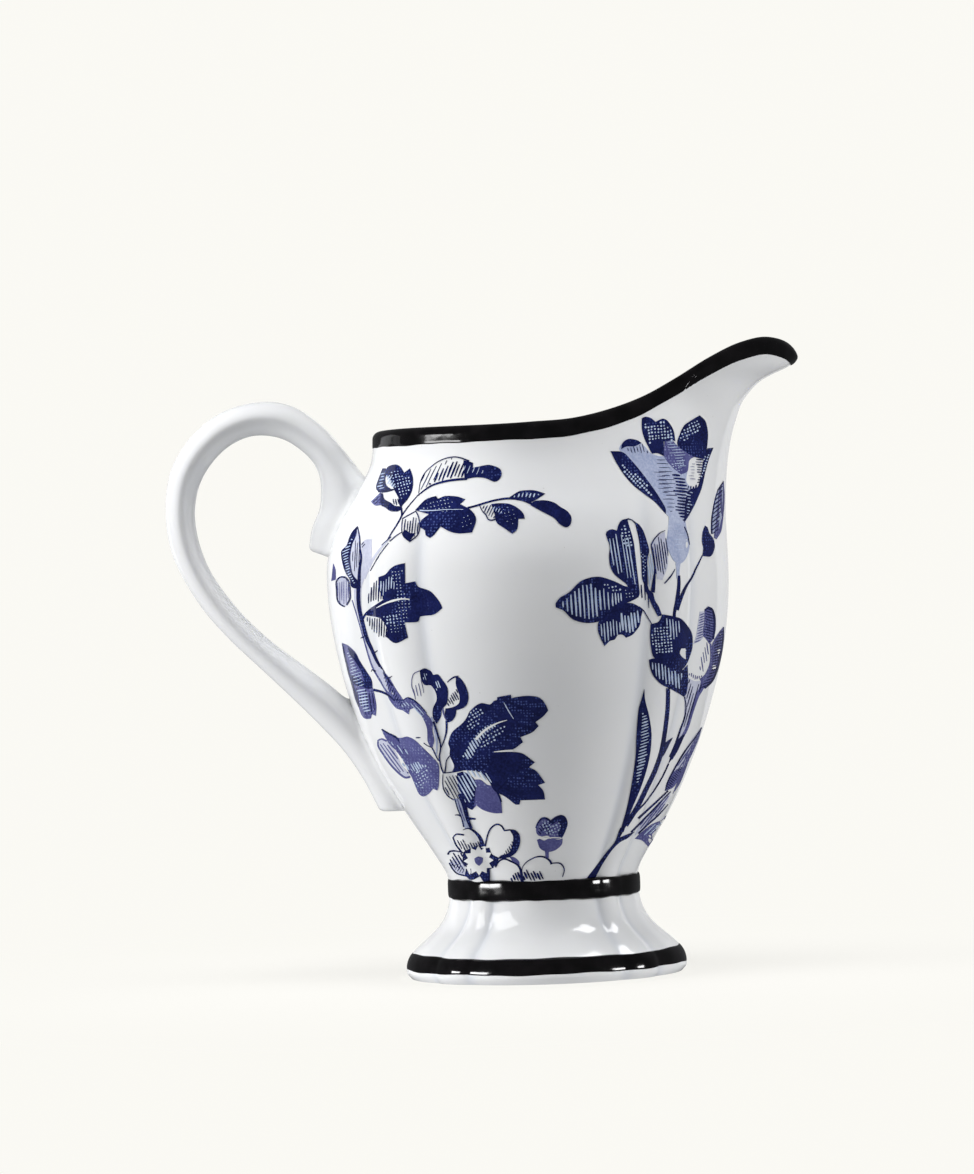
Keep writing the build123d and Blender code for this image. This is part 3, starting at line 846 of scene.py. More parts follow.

# ---------------------------------------------------------------- the blue flower print: what is drawn

# Each motif is a list of marks: what is drawn, its tone, its outline or path, and the mark's own numbers,
# which are widths for a stroke, and the angle, gap and size or width for dots and lines.
# Fills in the wash and pale tones, and some mid fills, are paler print and also painted reflection over the
# print.
MOTIFS = {
    "rim_flower": [
        ("fill", "ink", [(-29.5, 101.2), (-28.8, 101.2), (-28.7, 100.2), (-29.0, 99.2), (-28.8, 97.8),
         (-27.8, 97.0), (-28.7, 96.6), (-30.5, 96.7), (-30.9, 97.5), (-30.4, 99.0)]),
        ("lines", "light", [(-29.9, 100.5), (-28.9, 100.7), (-29.0, 99.2), (-29.4, 98.5), (-28.7, 97.2),
         (-30.4, 96.9), (-30.8, 97.5), (-30.2, 99.0)], 12, 0.55, 0.2, 0.25),
        ("fill", "ink", [(-28.5, 101.4), (-27.0, 101.9), (-26.0, 101.5), (-25.2, 100.2), (-24.1, 101.0),
         (-23.8, 100.3), (-23.5, 98.8), (-23.8, 96.6), (-24.8, 94.8), (-25.7, 93.9), (-26.1, 93.2),
         (-26.5, 94.2), (-26.5, 95.2), (-27.2, 96.7), (-27.5, 97.4), (-28.1, 99.2), (-28.8, 99.9)]),
        ("dots", "light", [(-28.3, 100.4), (-26.3, 101.1), (-25.6, 99.8), (-23.9, 99.5), (-24.2, 96.6),
         (-26.3, 94.9), (-26.7, 96.6), (-27.6, 98.9)], 12, 0.6, 0.26),
        ("lines", "light", [(-28.8, 99.9), (-27.8, 99.7), (-26.8, 97.4), (-27.2, 97.2),
         (-28.6, 98.0)], 60, 0.42, 0.2, 0.3),
        ("fill", "ink", [(-30.0, 96.4), (-29.6, 96.2), (-29.3, 95.1), (-28.0, 94.3), (-27.3, 93.7),
         (-26.0, 93.5), (-25.8, 93.1), (-26.8, 92.6), (-28.2, 92.7), (-29.3, 93.5), (-30.1, 94.0)]),
        ("fill", "mid", [(-30.0, 96.5), (-29.8, 95.3), (-30.0, 94.0), (-31.2, 93.9), (-32.0, 94.7)]),
        ("lines", "ink", [(-28.0, 95.0), (-26.5, 95.4), (-26.3, 93.9),
         (-27.5, 93.7)], 100, 0.45, 0.22, 0.3),
        ("lines", "ink", [(-31.8, 94.7), (-30.2, 96.3), (-30.0, 94.3), (-31.2, 94.1)], 40, 0.5, 0.2),
        ("stroke", "ink", [(-30.5, 96.7), (-29.2, 96.6), (-27.2, 97.0)], 0.3, 0.4, 0.2),
    ],
    "rim_stems": [
        ("stroke", "ink", [(-26.1, 93.3), (-26.0, 91.8), (-27.0, 90.0), (-28.1, 88.4),
         (-29.0, 86.9)], 0.35, 0.25, 0.2),
        ("stroke", "ink", [(-22.8, 95.5), (-24.8, 93.3), (-25.9, 91.8)], 0.15, 0.2, 0.2),
        ("stroke", "ink", [(-26.0, 88.5), (-27.2, 87.8), (-28.6, 86.7)], 0.1, 0.2, 0.15),
        ("stroke", "wash", [(-28.6, 87.3), (-30.3, 85.5), (-31.8, 83.6), (-33.0, 81.6),
         (-34.0, 79.6)], 0.3, 0.5, 0.8),
        ("stroke", "ink", [(-28.8, 86.4), (-30.6, 84.2), (-32.6, 81.0)], 0.12, 0.16, 0.12),
        ("stroke", "ink", [(-28.2, 87.6), (-30.2, 86.0)], 0.1, 0.16, 0.1),
    ],
    "feather_leaf": [
        ("fill", "ink", [(-13.3, 98.5), (-11.1, 98.8), (-9.3, 98.6), (-7.4, 97.8), (-6.5, 98.2),
         (-5.9, 99.3), (-6.2, 100.3), (-7.3, 100.9), (-8.7, 101.2), (-11.6, 100.7), (-11.5, 101.7),
         (-12.4, 102.0), (-13.4, 102.3)]),
        ("lines", "ink", [(-20.4, 97.6), (-16.4, 98.5), (-13.0, 98.5), (-13.2, 102.1), (-15.2, 102.3),
         (-18.0, 100.6)], 66, 0.66, 0.36, 0.2),
        ("lines", "ink", [(-22.4, 96.2), (-20.0, 97.8), (-17.0, 101.6), (-15.2, 102.9), (-18.2, 102.3),
         (-21.0, 100.2), (-22.0, 98.4)], 62, 0.7, 0.14, 0.25),
        ("stroke", "ink", [(-22.8, 95.5), (-20.0, 97.4), (-16.7, 98.3), (-12.8, 98.6)], 0.2, 0.4, 0.5),
        ("stroke", "ink", [(-22.5, 96.0), (-22.0, 98.5), (-20.8, 100.4), (-18.0, 102.4), (-15.0, 103.0),
         (-12.3, 102.1)], 0.1, 0.14, 0.3),
        ("lines", "light", [(-13.6, 99.2), (-9.4, 99.4), (-9.6, 100.6),
         (-13.4, 101.6)], 66, 0.9, 0.13, 0.3),
    ],
    "shoulder_leaf": [
        ("fill", "ink", [(-23.3, 92.7), (-21.2, 94.7), (-19.1, 95.4), (-18.7, 94.8), (-17.2, 95.3),
         (-14.8, 95.1), (-13.3, 94.5), (-14.4, 93.6), (-12.6, 92.6), (-11.6, 91.5), (-11.3, 90.2),
         (-12.2, 87.9), (-14.7, 87.8), (-16.5, 88.2), (-18.4, 89.3), (-19.8, 87.6), (-20.6, 87.1),
         (-21.4, 87.7), (-21.5, 88.6), (-22.5, 89.3), (-22.2, 90.6), (-20.6, 91.8)]),
        ("dots", "light", [(-22.0, 93.2), (-20.2, 94.6), (-15.6, 94.6), (-16.6, 92.4),
         (-19.8, 92.2)], 10, 0.72, 0.19),
        ("stroke", "light", [(-22.4, 92.6), (-20.0, 92.5), (-17.0, 92.6), (-13.8, 92.5)], 0.25, 0.12, 0.08),
        ("dots", "light", [(-14.2, 91.6), (-12.3, 91.4), (-12.2, 89.0), (-14.6, 88.8)], 20, 0.8, 0.15),
    ],
    "striped_bud": [
        ("stroke", "ink", [(-25.9, 91.1), (-24.8, 91.7), (-23.2, 92.5), (-22.7, 91.4), (-22.5, 89.4),
         (-23.0, 87.8), (-24.6, 86.5), (-25.8, 87.6), (-26.1, 88.9), (-25.9, 91.0)], 0.16, 0.22, 0.16),
        ("lines", "ink", [(-25.9, 88.0), (-25.6, 90.8), (-23.4, 92.1), (-22.7, 90.6), (-22.9, 88.2),
         (-24.6, 86.7)], 82, 0.52, 0.22, 0.3),
        ("fill", "ink", [(-25.9, 88.4), (-25.4, 88.9), (-24.4, 88.2), (-23.4, 88.2), (-24.6, 86.6),
         (-25.6, 87.3)]),
    ],
    "arc_spray": [
        ("stroke", "ink", [(-12.9, 92.8), (-11.1, 93.2), (-9.3, 93.7), (-7.0, 94.2), (-4.5, 94.4),
         (-2.0, 94.0), (-0.2, 93.2)], 0.35, 0.35, 0.45),
        ("fill", "ink", [(-4.7, 94.5), (-2.7, 95.7), (-1.1, 95.9), (0.5, 95.8), (2.6, 95.1), (1.6, 94.5),
         (0.6, 93.9), (-0.6, 93.5), (-2.2, 94.0)]),
        ("lines", "light", [(-4.0, 94.6), (-2.6, 95.4), (0.4, 95.4), (1.6, 95.0), (0.0, 94.4),
         (-2.2, 94.4)], 68, 0.72, 0.26, 0.2),
        ("fill", "ink", [(-0.4, 92.9), (0.2, 93.6), (2.2, 93.8), (4.2, 93.3), (5.6, 92.3), (6.8, 91.5),
         (7.6, 90.3), (7.4, 88.9), (6.5, 88.3), (5.2, 89.0), (4.2, 90.2), (1.8, 91.6)]),
    ],
    "lobed_leaf": [
        ("fill", "ink", [(-8.2, 93.4), (-7.6, 91.4), (-7.5, 90.4), (-7.1, 89.5), (-6.0, 88.7), (-4.2, 87.4),
         (-3.2, 88.3), (-2.9, 90.3), (-1.6, 90.3), (-1.9, 91.3), (-2.9, 92.4), (-4.6, 93.3), (-6.4, 93.5)]),
        ("stroke", "ink", [(-10.5, 93.2), (-10.0, 92.1), (-9.3, 91.3), (-8.9, 90.4), (-8.2, 90.2),
         (-7.5, 90.4)], 0.15, 0.25, 0.25),
        ("lines", "ink", [(-10.3, 93.2), (-9.1, 90.9), (-7.6, 90.4), (-7.4, 93.4)], 62, 0.55, 0.22, 0.25),
        ("lines", "light", [(-8.0, 92.0), (-6.2, 91.2), (-6.0, 92.4), (-7.6, 93.0)], 62, 0.55, 0.2, 0.3),
        ("dots", "light", [(-6.0, 92.8), (-3.0, 92.0), (-3.6, 89.0), (-5.4, 89.6)], 15, 0.8, 0.14),
    ],
    "tall_leaf": [
        ("fill", "wash", [(-34.8, 90.0), (-36.3, 87.8), (-37.7, 85.6), (-36.5, 84.3), (-36.5, 82.1),
         (-36.1, 80.3), (-35.0, 78.8), (-34.8, 80.3), (-34.3, 83.8), (-34.5, 86.2)]),
        ("fill", "ink", [(-34.8, 90.0), (-35.8, 89.0), (-36.6, 87.6), (-37.1, 86.1), (-38.2, 85.1),
         (-38.1, 82.9), (-37.5, 80.8), (-36.7, 79.4), (-36.4, 77.9), (-35.1, 77.5), (-35.0, 78.8),
         (-36.0, 80.3), (-36.4, 82.1), (-36.4, 84.3), (-36.0, 86.3), (-35.2, 88.0)]),
        ("lines", "light", [(-35.4, 88.5), (-36.8, 86.3), (-38.0, 84.9), (-37.8, 82.9), (-37.2, 80.6),
         (-36.2, 78.9), (-35.4, 78.1), (-36.3, 80.6), (-36.7, 82.8), (-36.4, 85.8)], 22, 0.5, 0.2, 0.25),
        ("lines", "ink", [(-35.2, 88.0), (-35.9, 85.8), (-36.2, 82.8), (-36.0, 81.3), (-35.2, 79.8),
         (-34.8, 81.8), (-34.5, 83.8), (-34.7, 86.3)], 86, 0.42, 0.14, 0.3),
        ("stroke", "ink", [(-34.8, 89.7), (-34.5, 87.7), (-34.5, 85.7), (-34.3, 83.8), (-34.7, 81.3),
         (-34.9, 79.1), (-35.0, 77.6)], 0.15, 0.4, 0.8),
        ("fill", "wash", [(-34.2, 86.4), (-33.2, 87.2), (-32.1, 87.2), (-32.3, 83.7), (-33.2, 81.2),
         (-34.3, 78.3), (-34.7, 76.6), (-34.7, 80.3)]),
        ("lines", "ink", [(-34.2, 86.2), (-33.3, 87.1), (-33.2, 86.7), (-34.0, 85.5),
         (-34.2, 84.5)], 50, 0.42, 0.14, 0.3),
        ("fill", "mid", [(-39.9, 82.7), (-39.5, 81.5), (-39.5, 79.5), (-40.4, 79.2)]),
    ],
    "oval_petal": [
        ("fill", "wash", [(-39.3, 79.5), (-38.2, 80.0), (-37.1, 79.4), (-36.8, 77.9), (-36.8, 75.7),
         (-37.5, 74.2), (-38.4, 74.1), (-39.3, 75.5), (-39.5, 77.5)]),
        ("lines", "mid", [(-39.3, 79.2), (-38.2, 79.8), (-37.1, 79.3), (-36.9, 77.9), (-37.0, 75.7),
         (-37.6, 74.4), (-38.4, 74.3), (-39.3, 75.5), (-39.4, 77.5)], 88, 0.42, 0.2, 0.2),
        ("stroke", "ink", [(-39.4, 77.5), (-39.4, 79.0), (-38.7, 79.9), (-37.7, 79.9), (-37.0, 79.1),
         (-36.8, 77.6), (-36.8, 75.7), (-37.5, 74.4)], 0.25, 0.35, 0.35),
        ("stroke", "ink", [(-39.4, 77.7), (-39.3, 75.5), (-38.7, 74.5), (-37.9, 74.1)], 0.2, 0.3, 0.3),
    ],
    "thorn_stem": [
        ("fill", "wash", [(-35.6, 79.6), (-34.3, 79.6), (-34.6, 75.0), (-34.3, 71.0), (-33.7, 69.0),
         (-32.7, 65.6), (-31.6, 63.1), (-30.6, 61.1), (-29.4, 59.5), (-28.5, 57.6), (-27.1, 55.4),
         (-26.0, 53.4), (-26.0, 52.5), (-27.2, 53.3), (-28.7, 54.6), (-30.2, 57.1), (-31.4, 59.3),
         (-32.7, 61.6), (-33.5, 64.1), (-34.2, 66.9), (-35.4, 72.0), (-36.0, 76.0)]),
        ("fill", "mid", [(-31.0, 61.1), (-30.5, 60.8), (-29.4, 59.4), (-28.4, 57.5), (-26.9, 55.1),
         (-25.9, 53.0), (-26.0, 52.3), (-27.2, 53.2), (-28.6, 54.6), (-29.6, 56.5), (-30.0, 58.4),
         (-30.5, 59.9)]),
        ("lines", "ink", [(-31.0, 60.7), (-29.5, 59.0), (-26.9, 54.8), (-26.2, 52.8), (-27.5, 53.6),
         (-29.6, 56.5), (-30.5, 58.7)], 66, 0.5, 0.2, 0.3),
        ("stroke", "ink", [(-35.0, 79.0), (-35.1, 74.4), (-34.5, 70.7), (-33.7, 67.5), (-32.8, 65.3),
         (-31.9, 63.1), (-30.8, 61.1), (-29.9, 59.5), (-28.9, 58.0)], 0.8, 0.75, 0.3),
        ("stroke", "mid", [(-36.4, 75.3), (-35.5, 72.0), (-34.2, 66.9), (-33.5, 64.1), (-32.7, 61.6),
         (-31.4, 59.2), (-30.2, 57.0), (-28.7, 54.6)], 0.15, 0.3, 0.4),
        ("stroke", "ink", [(-32.9, 64.9), (-32.2, 64.8), (-31.7, 65.2)], 0.5, 0.3, 0.1),
        ("stroke", "ink", [(-32.2, 61.0), (-32.9, 61.4), (-33.1, 61.0)], 0.4, 0.25, 0.1),
        ("stroke", "ink", [(-30.1, 59.7), (-29.4, 59.7), (-29.0, 60.0)], 0.4, 0.25, 0.1),
        ("stroke", "ink", [(-34.2, 68.0), (-35.0, 67.7)], 0.3, 0.25, 0.1),
        ("stroke", "ink", [(-32.8, 57.4), (-31.1, 56.9), (-29.8, 56.2), (-28.6, 55.1)], 0.5, 0.4, 0.3),
    ],
    "edge_leaf": [
        ("fill", "mid", [(-38.7, 66.9), (-37.6, 66.4), (-36.1, 64.9), (-35.3, 63.2), (-34.0, 61.0),
         (-33.1, 59.4), (-32.9, 57.7), (-32.6, 56.3), (-32.3, 54.1), (-32.5, 52.2), (-33.2, 52.6),
         (-33.5, 51.7), (-34.6, 51.7), (-35.3, 52.5), (-35.9, 54.2), (-36.5, 55.8), (-36.9, 57.7),
         (-37.7, 61.4), (-38.3, 64.2)]),
        ("fill", "ink", [(-37.6, 66.2), (-36.1, 64.8), (-35.3, 63.2), (-34.0, 61.0), (-33.1, 59.4),
         (-33.0, 57.8), (-33.8, 57.6), (-35.0, 58.1), (-36.5, 58.6), (-37.1, 60.5), (-36.0, 60.1),
         (-34.5, 59.1), (-35.0, 61.0), (-36.2, 63.2), (-37.1, 64.5)]),
        ("lines", "light", [(-38.3, 66.1), (-37.4, 63.6), (-37.1, 60.5), (-36.5, 58.6), (-34.8, 58.2),
         (-34.3, 58.8), (-35.2, 61.0), (-36.4, 63.2), (-37.4, 65.1)], 15, 0.62, 0.17, 0.2),
        ("stroke", "ink", [(-38.6, 66.7), (-38.2, 64.2), (-37.6, 61.4), (-36.9, 58.6), (-36.3, 56.1),
         (-35.7, 54.2)], 0.2, 0.4, 0.3),
        ("lines", "light", [(-36.4, 57.6), (-34.1, 57.7), (-33.8, 56.0), (-33.4, 53.2), (-35.0, 52.9),
         (-35.8, 55.5)], 8, 0.6, 0.3, 0.2),
        ("lines", "ink", [(-36.5, 58.0), (-33.0, 57.5), (-32.5, 54.4), (-32.8, 52.4), (-34.7, 52.0),
         (-35.9, 54.8)], 96, 0.6, 0.24, 0.3),
    ],
    "five_lobed_leaf": [
        ("fill", "ink", [(-25.7, 82.3), (-27.6, 81.9), (-28.7, 81.2), (-29.6, 80.2), (-31.0, 79.7),
         (-31.0, 77.4), (-30.0, 75.0), (-33.2, 73.2), (-33.7, 72.2), (-30.8, 71.4), (-29.6, 69.0),
         (-30.1, 68.0), (-28.1, 66.5), (-25.6, 67.5), (-26.2, 70.5), (-23.5, 70.6), (-23.0, 71.6),
         (-20.3, 71.9), (-18.6, 73.1), (-19.0, 74.2), (-20.8, 76.5), (-23.2, 77.5), (-23.8, 78.6),
         (-25.8, 78.3)]),
        ("lines", "ink", [(-29.8, 80.0), (-31.4, 79.5), (-32.3, 78.2), (-33.4, 75.6), (-33.2, 74.2),
         (-30.0, 75.2), (-30.6, 77.4)], 86, 0.48, 0.24, 0.15),
        ("lines", "ink", [(-33.8, 71.9), (-33.2, 70.0), (-31.2, 67.6), (-29.9, 67.6), (-29.6, 69.2),
         (-30.6, 71.6)], 86, 0.48, 0.22, 0.15),
        ("lines", "light", [(-31.4, 77.8), (-30.2, 79.2), (-28.0, 80.0), (-27.8, 76.8),
         (-30.2, 76.0)], 86, 0.52, 0.2, 0.25),
        ("dots", "light", [(-28.6, 80.6), (-26.2, 81.4), (-26.2, 77.0), (-25.0, 74.0), (-26.8, 69.0),
         (-29.0, 68.6), (-29.6, 71.4), (-27.4, 73.4)], 4, 0.66, 0.21),
        ("stroke", "reserve", [(-31.6, 73.6), (-29.4, 74.6), (-26.8, 75.2),
         (-25.0, 75.1)], 0.1, 0.42, 0.16),
        ("dots", "light", [(-30.2, 72.0), (-27.4, 71.9), (-27.8, 70.2), (-29.8, 70.2)], 2, 0.62, 0.3),
        ("stroke", "ink", [(-34.5, 71.3), (-33.7, 72.6), (-32.1, 73.8), (-29.6, 75.4)], 0.35, 0.4, 0.2),
    ],
    "branch_knob": [
        ("fill", "mid", [(-30.0, 57.0), (-28.3, 55.6), (-27.1, 55.1), (-26.0, 55.5), (-24.2, 54.4),
         (-22.4, 52.2), (-21.3, 50.6), (-21.4, 49.0), (-21.1, 46.9), (-21.5, 45.5), (-22.0, 45.9),
         (-22.4, 46.9), (-22.5, 49.6), (-23.6, 52.2), (-24.9, 53.5), (-25.7, 53.2), (-25.9, 52.3),
         (-27.1, 53.1), (-28.4, 53.6), (-29.8, 55.6)]),
        ("lines", "light", [(-27.0, 55.0), (-24.6, 54.4), (-22.6, 51.8), (-23.4, 51.6), (-25.4, 53.7),
         (-27.4, 53.8)], 130, 0.5, 0.2, 0.2),
        ("stroke", "ink", [(-28.6, 55.4), (-27.1, 55.1), (-26.0, 55.6), (-24.2, 54.5),
         (-22.4, 52.4)], 0.1, 0.3, 0.1),
        ("stroke", "pale", [(-21.5, 51.6), (-20.9, 49.2), (-20.6, 46.4), (-20.8, 44.0)], 0.3, 0.5, 0.2),
        ("stroke", "ink", [(-24.7, 47.6), (-23.8, 47.6)], 0.2, 0.25, 0.1),
        ("stroke", "ink", [(-23.2, 46.5), (-22.4, 45.9), (-21.6, 45.5), (-21.1, 44.4),
         (-20.4, 42.9)], 0.1, 0.2, 0.2),
    ],
    "blossom": [
        ("fill", "ink", [(-23.5, 60.9), (-22.5, 61.3), (-21.2, 60.6), (-20.9, 59.9), (-19.9, 60.0),
         (-19.0, 58.8), (-18.1, 57.2), (-18.1, 55.3), (-18.4, 54.0), (-19.3, 53.1), (-19.6, 51.6),
         (-20.5, 50.2), (-21.2, 51.6), (-21.1, 53.4), (-20.3, 55.0), (-20.5, 56.6), (-21.4, 57.9),
         (-22.6, 58.0), (-23.3, 59.2)]),
        ("lines", "light", [(-20.9, 59.2), (-19.8, 58.8), (-19.2, 56.6),
         (-20.2, 56.8)], 110, 0.42, 0.2, 0.3),
        ("lines", "light", [(-22.9, 60.4), (-22.0, 60.3), (-22.2, 58.7),
         (-22.9, 58.9)], 105, 0.4, 0.16, 0.3),
        ("fill", "ink", [(-16.3, 59.6), (-15.3, 58.9), (-14.3, 57.0), (-14.0, 55.2), (-14.4, 53.8),
         (-15.3, 53.1), (-16.5, 52.8), (-16.7, 51.7), (-17.4, 50.7), (-18.2, 50.4), (-18.8, 52.1),
         (-18.6, 53.2), (-17.2, 53.4), (-15.9, 54.2), (-15.8, 55.8), (-16.4, 57.8)]),
        ("stroke", "ink", [(-18.1, 58.4), (-17.5, 58.9), (-16.6, 59.4), (-15.9, 59.4)], 0.15, 0.3, 0.4),
        ("lines", "ink", [(-18.2, 54.8), (-16.4, 57.4), (-15.8, 55.4), (-16.2, 54.0),
         (-18.0, 53.4)], 116, 0.46, 0.2, 0.35),
        ("lines", "mid", [(-25.0, 60.2), (-23.6, 60.0), (-22.6, 56.6), (-22.8, 53.6),
         (-24.8, 54.6)], 100, 0.62, 0.11, 0.35),
        ("stroke", "mid", [(-23.6, 60.8), (-24.8, 60.2), (-25.2, 58.0), (-24.6, 55.8)], 0.14, 0.12, 0.08),
        ("stroke", "ink", [(-21.1, 50.7), (-20.4, 48.2), (-19.95, 46.5), (-19.9, 45.2), (-20.2, 43.6),
         (-19.9, 41.6), (-19.5, 40.4)], 0.4, 0.28, 0.25),
        ("stroke", "ink", [(-18.5, 50.8), (-18.6, 48.7), (-19.1, 47.0), (-19.8, 45.4)], 0.45, 0.3, 0.15),
        ("stroke", "mid", [(-19.2, 53.4), (-19.0, 52.0), (-18.5, 50.8)], 0.3, 0.25, 0.2),
    ],
    "serrated_leaf": [
        ("fill", "ink", [(-17.8, 40.5), (-17.3, 41.8), (-18.1, 43.9), (-18.0, 45.2), (-18.3, 46.3),
         (-17.5, 48.4), (-15.6, 50.0), (-14.5, 51.2), (-13.9, 52.4), (-12.4, 53.7), (-11.3, 54.0),
         (-9.8, 53.7), (-9.0, 54.4), (-8.4, 54.5), (-8.3, 55.1), (-5.6, 55.5), (-5.5, 54.8), (-3.6, 55.1),
         (-1.6, 55.1), (0.2, 54.6), (1.3, 53.2), (1.7, 52.1), (0.7, 51.0), (-0.9, 49.9), (-0.3, 49.1),
         (-1.6, 47.9), (-4.0, 47.0), (-3.5, 46.0), (-5.7, 44.6), (-8.8, 44.4), (-5.4, 44.1), (-3.6, 43.7),
         (-1.3, 41.9), (-2.5, 41.0), (-1.0, 40.1), (0.6, 37.8), (-0.8, 37.4), (0.2, 36.2), (0.5, 34.5),
         (-4.4, 34.5), (-4.6, 33.7), (-5.4, 33.7), (-7.2, 35.2), (-9.5, 36.6), (-10.4, 38.3), (-12.0, 40.2),
         (-15.0, 40.8)]),
        ("stroke", "reserve", [(-9.3, 44.3), (-7.0, 44.4), (-5.5, 44.4)], 0.1, 0.3, 0.4),
        ("stroke", "light", [(-7.0, 54.0), (-6.2, 52.4), (-5.2, 50.7)], 0.12, 0.2, 0.1),
        ("stroke", "reserve", [(-12.8, 46.9), (-11.0, 48.6), (-8.6, 49.9), (-6.5, 50.5)], 0.5, 0.4, 0.12),
        ("lines", "light", [(-15.6, 43.6), (-14.4, 45.8), (-12.6, 48.2), (-9.8, 49.9), (-8.6, 49.4),
         (-10.6, 47.8), (-12.6, 45.0), (-14.0, 42.8)], 118, 0.6, 0.34, 0.12),
        ("dots", "light", [(-12.6, 45.4), (-10.2, 47.8), (-7.2, 49.7), (-6.4, 49.0), (-8.8, 46.8),
         (-11.0, 45.0)], 26, 0.72, 0.36),
        ("dots", "light", [(-14.6, 50.4), (-13.6, 52.7), (-12.2, 53.3), (-11.0, 52.2), (-12.4, 49.8),
         (-14.2, 48.8)], 30, 0.66, 0.34),
        ("lines", "light", [(-16.0, 40.6), (-13.4, 40.9), (-11.0, 40.3), (-9.2, 37.6), (-10.8, 38.4),
         (-13.0, 39.4), (-15.4, 39.4)], 120, 0.72, 0.3, 0.15),
    ],
    # this leaf's lilac wash and mid fills are paler print and also painted reflection of the bright floor
    "purple_leaf": [
        ("fill", "mid", [(-27.4, 47.7), (-26.5, 47.9), (-25.0, 47.2), (-23.5, 45.7), (-22.0, 44.1),
         (-20.6, 42.5), (-20.3, 41.4), (-20.5, 37.9), (-20.8, 37.0), (-21.6, 37.4), (-22.5, 36.4),
         (-23.6, 35.9), (-24.5, 36.5), (-25.0, 37.7), (-25.7, 39.6), (-26.4, 41.0), (-27.3, 43.1),
         (-28.6, 45.0), (-30.1, 46.7), (-31.1, 48.6), (-31.4, 49.5), (-30.0, 48.7), (-28.5, 47.8)]),
        ("fill", "wash", [(-32.2, 47.3), (-31.5, 47.6), (-30.7, 47.2), (-29.8, 46.3), (-28.6, 44.4),
         (-27.8, 42.3), (-26.7, 41.0), (-26.1, 39.9), (-27.1, 39.8), (-28.4, 40.8), (-29.9, 42.5),
         (-31.3, 44.6), (-32.1, 46.2)]),
        ("lines", "mid", [(-32.1, 47.2), (-30.7, 47.1), (-29.7, 45.9), (-28.5, 44.0), (-27.6, 42.1),
         (-26.4, 40.6), (-27.4, 40.3), (-28.9, 41.6), (-30.7, 44.0), (-32.0, 46.0)], 124, 0.55, 0.28, 0.2),
        ("stroke", "mid", [(-30.5, 47.1), (-31.5, 47.6), (-32.2, 47.3), (-32.2, 46.2), (-31.3, 44.6),
         (-29.9, 42.5), (-28.4, 40.8), (-27.1, 39.8), (-26.1, 39.9)], 0.3, 0.35, 0.4),
        ("lines", "light", [(-27.7, 42.8), (-26.4, 42.5), (-24.8, 43.0), (-23.6, 42.3), (-22.2, 42.0),
         (-23.6, 41.4), (-24.3, 40.5), (-25.5, 40.8), (-26.9, 41.7)], 118, 0.46, 0.28, 0.2),
        ("dots", "light", [(-26.1, 41.0), (-22.7, 41.4), (-22.4, 39.2), (-23.7, 37.4),
         (-24.7, 37.7)], 30, 0.62, 0.3),
        ("lines", "light", [(-30.5, 47.5), (-28.4, 46.4), (-26.9, 44.3), (-27.3, 43.2), (-28.4, 45.3),
         (-29.9, 46.9)], 122, 0.62, 0.16, 0.3),
        ("stroke", "ink", [(-31.4, 49.5), (-30.0, 48.6), (-28.5, 47.7), (-27.6, 46.2),
         (-26.6, 44.3)], 0.2, 0.35, 0.15),
        ("stroke", "light", [(-26.9, 45.4), (-26.3, 44.4)], 0.15, 0.25, 0.1),
    ],
    "lower_leaves": [
        ("fill", "mid", [(-14.2, 38.4), (-12.4, 38.9), (-10.9, 37.8), (-9.7, 37.4), (-8.6, 35.6),
         (-8.2, 34.3), (-8.1, 32.1), (-9.5, 32.1), (-11.1, 32.5), (-12.3, 33.1), (-13.1, 33.8),
         (-13.9, 33.0), (-15.0, 33.7), (-15.4, 36.0)]),
        ("fill", "ink", [(-16.8, 40.3), (-15.4, 40.5), (-13.2, 38.6), (-13.4, 35.6), (-13.6, 33.6),
         (-14.0, 32.9), (-15.1, 33.6), (-16.4, 36.4)]),
        ("lines", "light", [(-17.0, 40.2), (-15.0, 40.4), (-13.0, 38.0), (-13.6, 34.6), (-15.2, 34.4),
         (-16.6, 37.0)], 118, 0.66, 0.32, 0.12),
        ("lines", "ink", [(-19.5, 39.6), (-17.0, 40.4), (-16.0, 37.4), (-15.4, 34.6), (-17.6, 35.1),
         (-19.2, 37.0)], 117, 0.6, 0.2, 0.25),
        ("stroke", "ink", [(-19.6, 40.2), (-19.7, 38.5), (-19.5, 37.1), (-18.7, 35.8),
         (-17.6, 35.0)], 0.1, 0.2, 0.2),
        ("stroke", "ink", [(-19.5, 40.4), (-18.2, 40.5), (-16.6, 40.7), (-15.2, 41.0)], 0.15, 0.25, 0.3),
        ("stroke", "ink", [(-19.2, 40.5), (-19.0, 41.8), (-18.8, 42.9), (-18.1, 43.8)], 0.3, 0.2, 0.2),
        ("stroke", "ink", [(-8.2, 34.3), (-8.7, 35.8), (-9.6, 37.2)], 0.3, 0.35, 0.1),
    ],
    "waist_stem": [
        ("fill", "pale", [(-17.6, 35.2), (-16.9, 33.2), (-16.1, 31.2), (-15.6, 29.3), (-14.6, 29.4),
         (-15.0, 32.4), (-15.8, 35.4)]),
        ("stroke", "ink", [(-16.3, 36.2), (-15.6, 34.0), (-15.2, 32.0), (-14.8, 30.5),
         (-14.3, 29.2)], 1.1, 0.85, 0.55),
        ("stroke", "ink", [(-17.4, 35.2), (-16.9, 33.2), (-16.2, 31.4), (-15.8, 29.6)], 0.2, 0.2, 0.3),
        ("stroke", "mid", [(-16.9, 35.2), (-16.3, 33.0), (-15.6, 30.8)], 0.1, 0.25, 0.1),
        ("stroke", "ink", [(-15.2, 31.3), (-14.4, 31.2), (-13.4, 31.1)], 0.7, 0.4, 0.3),
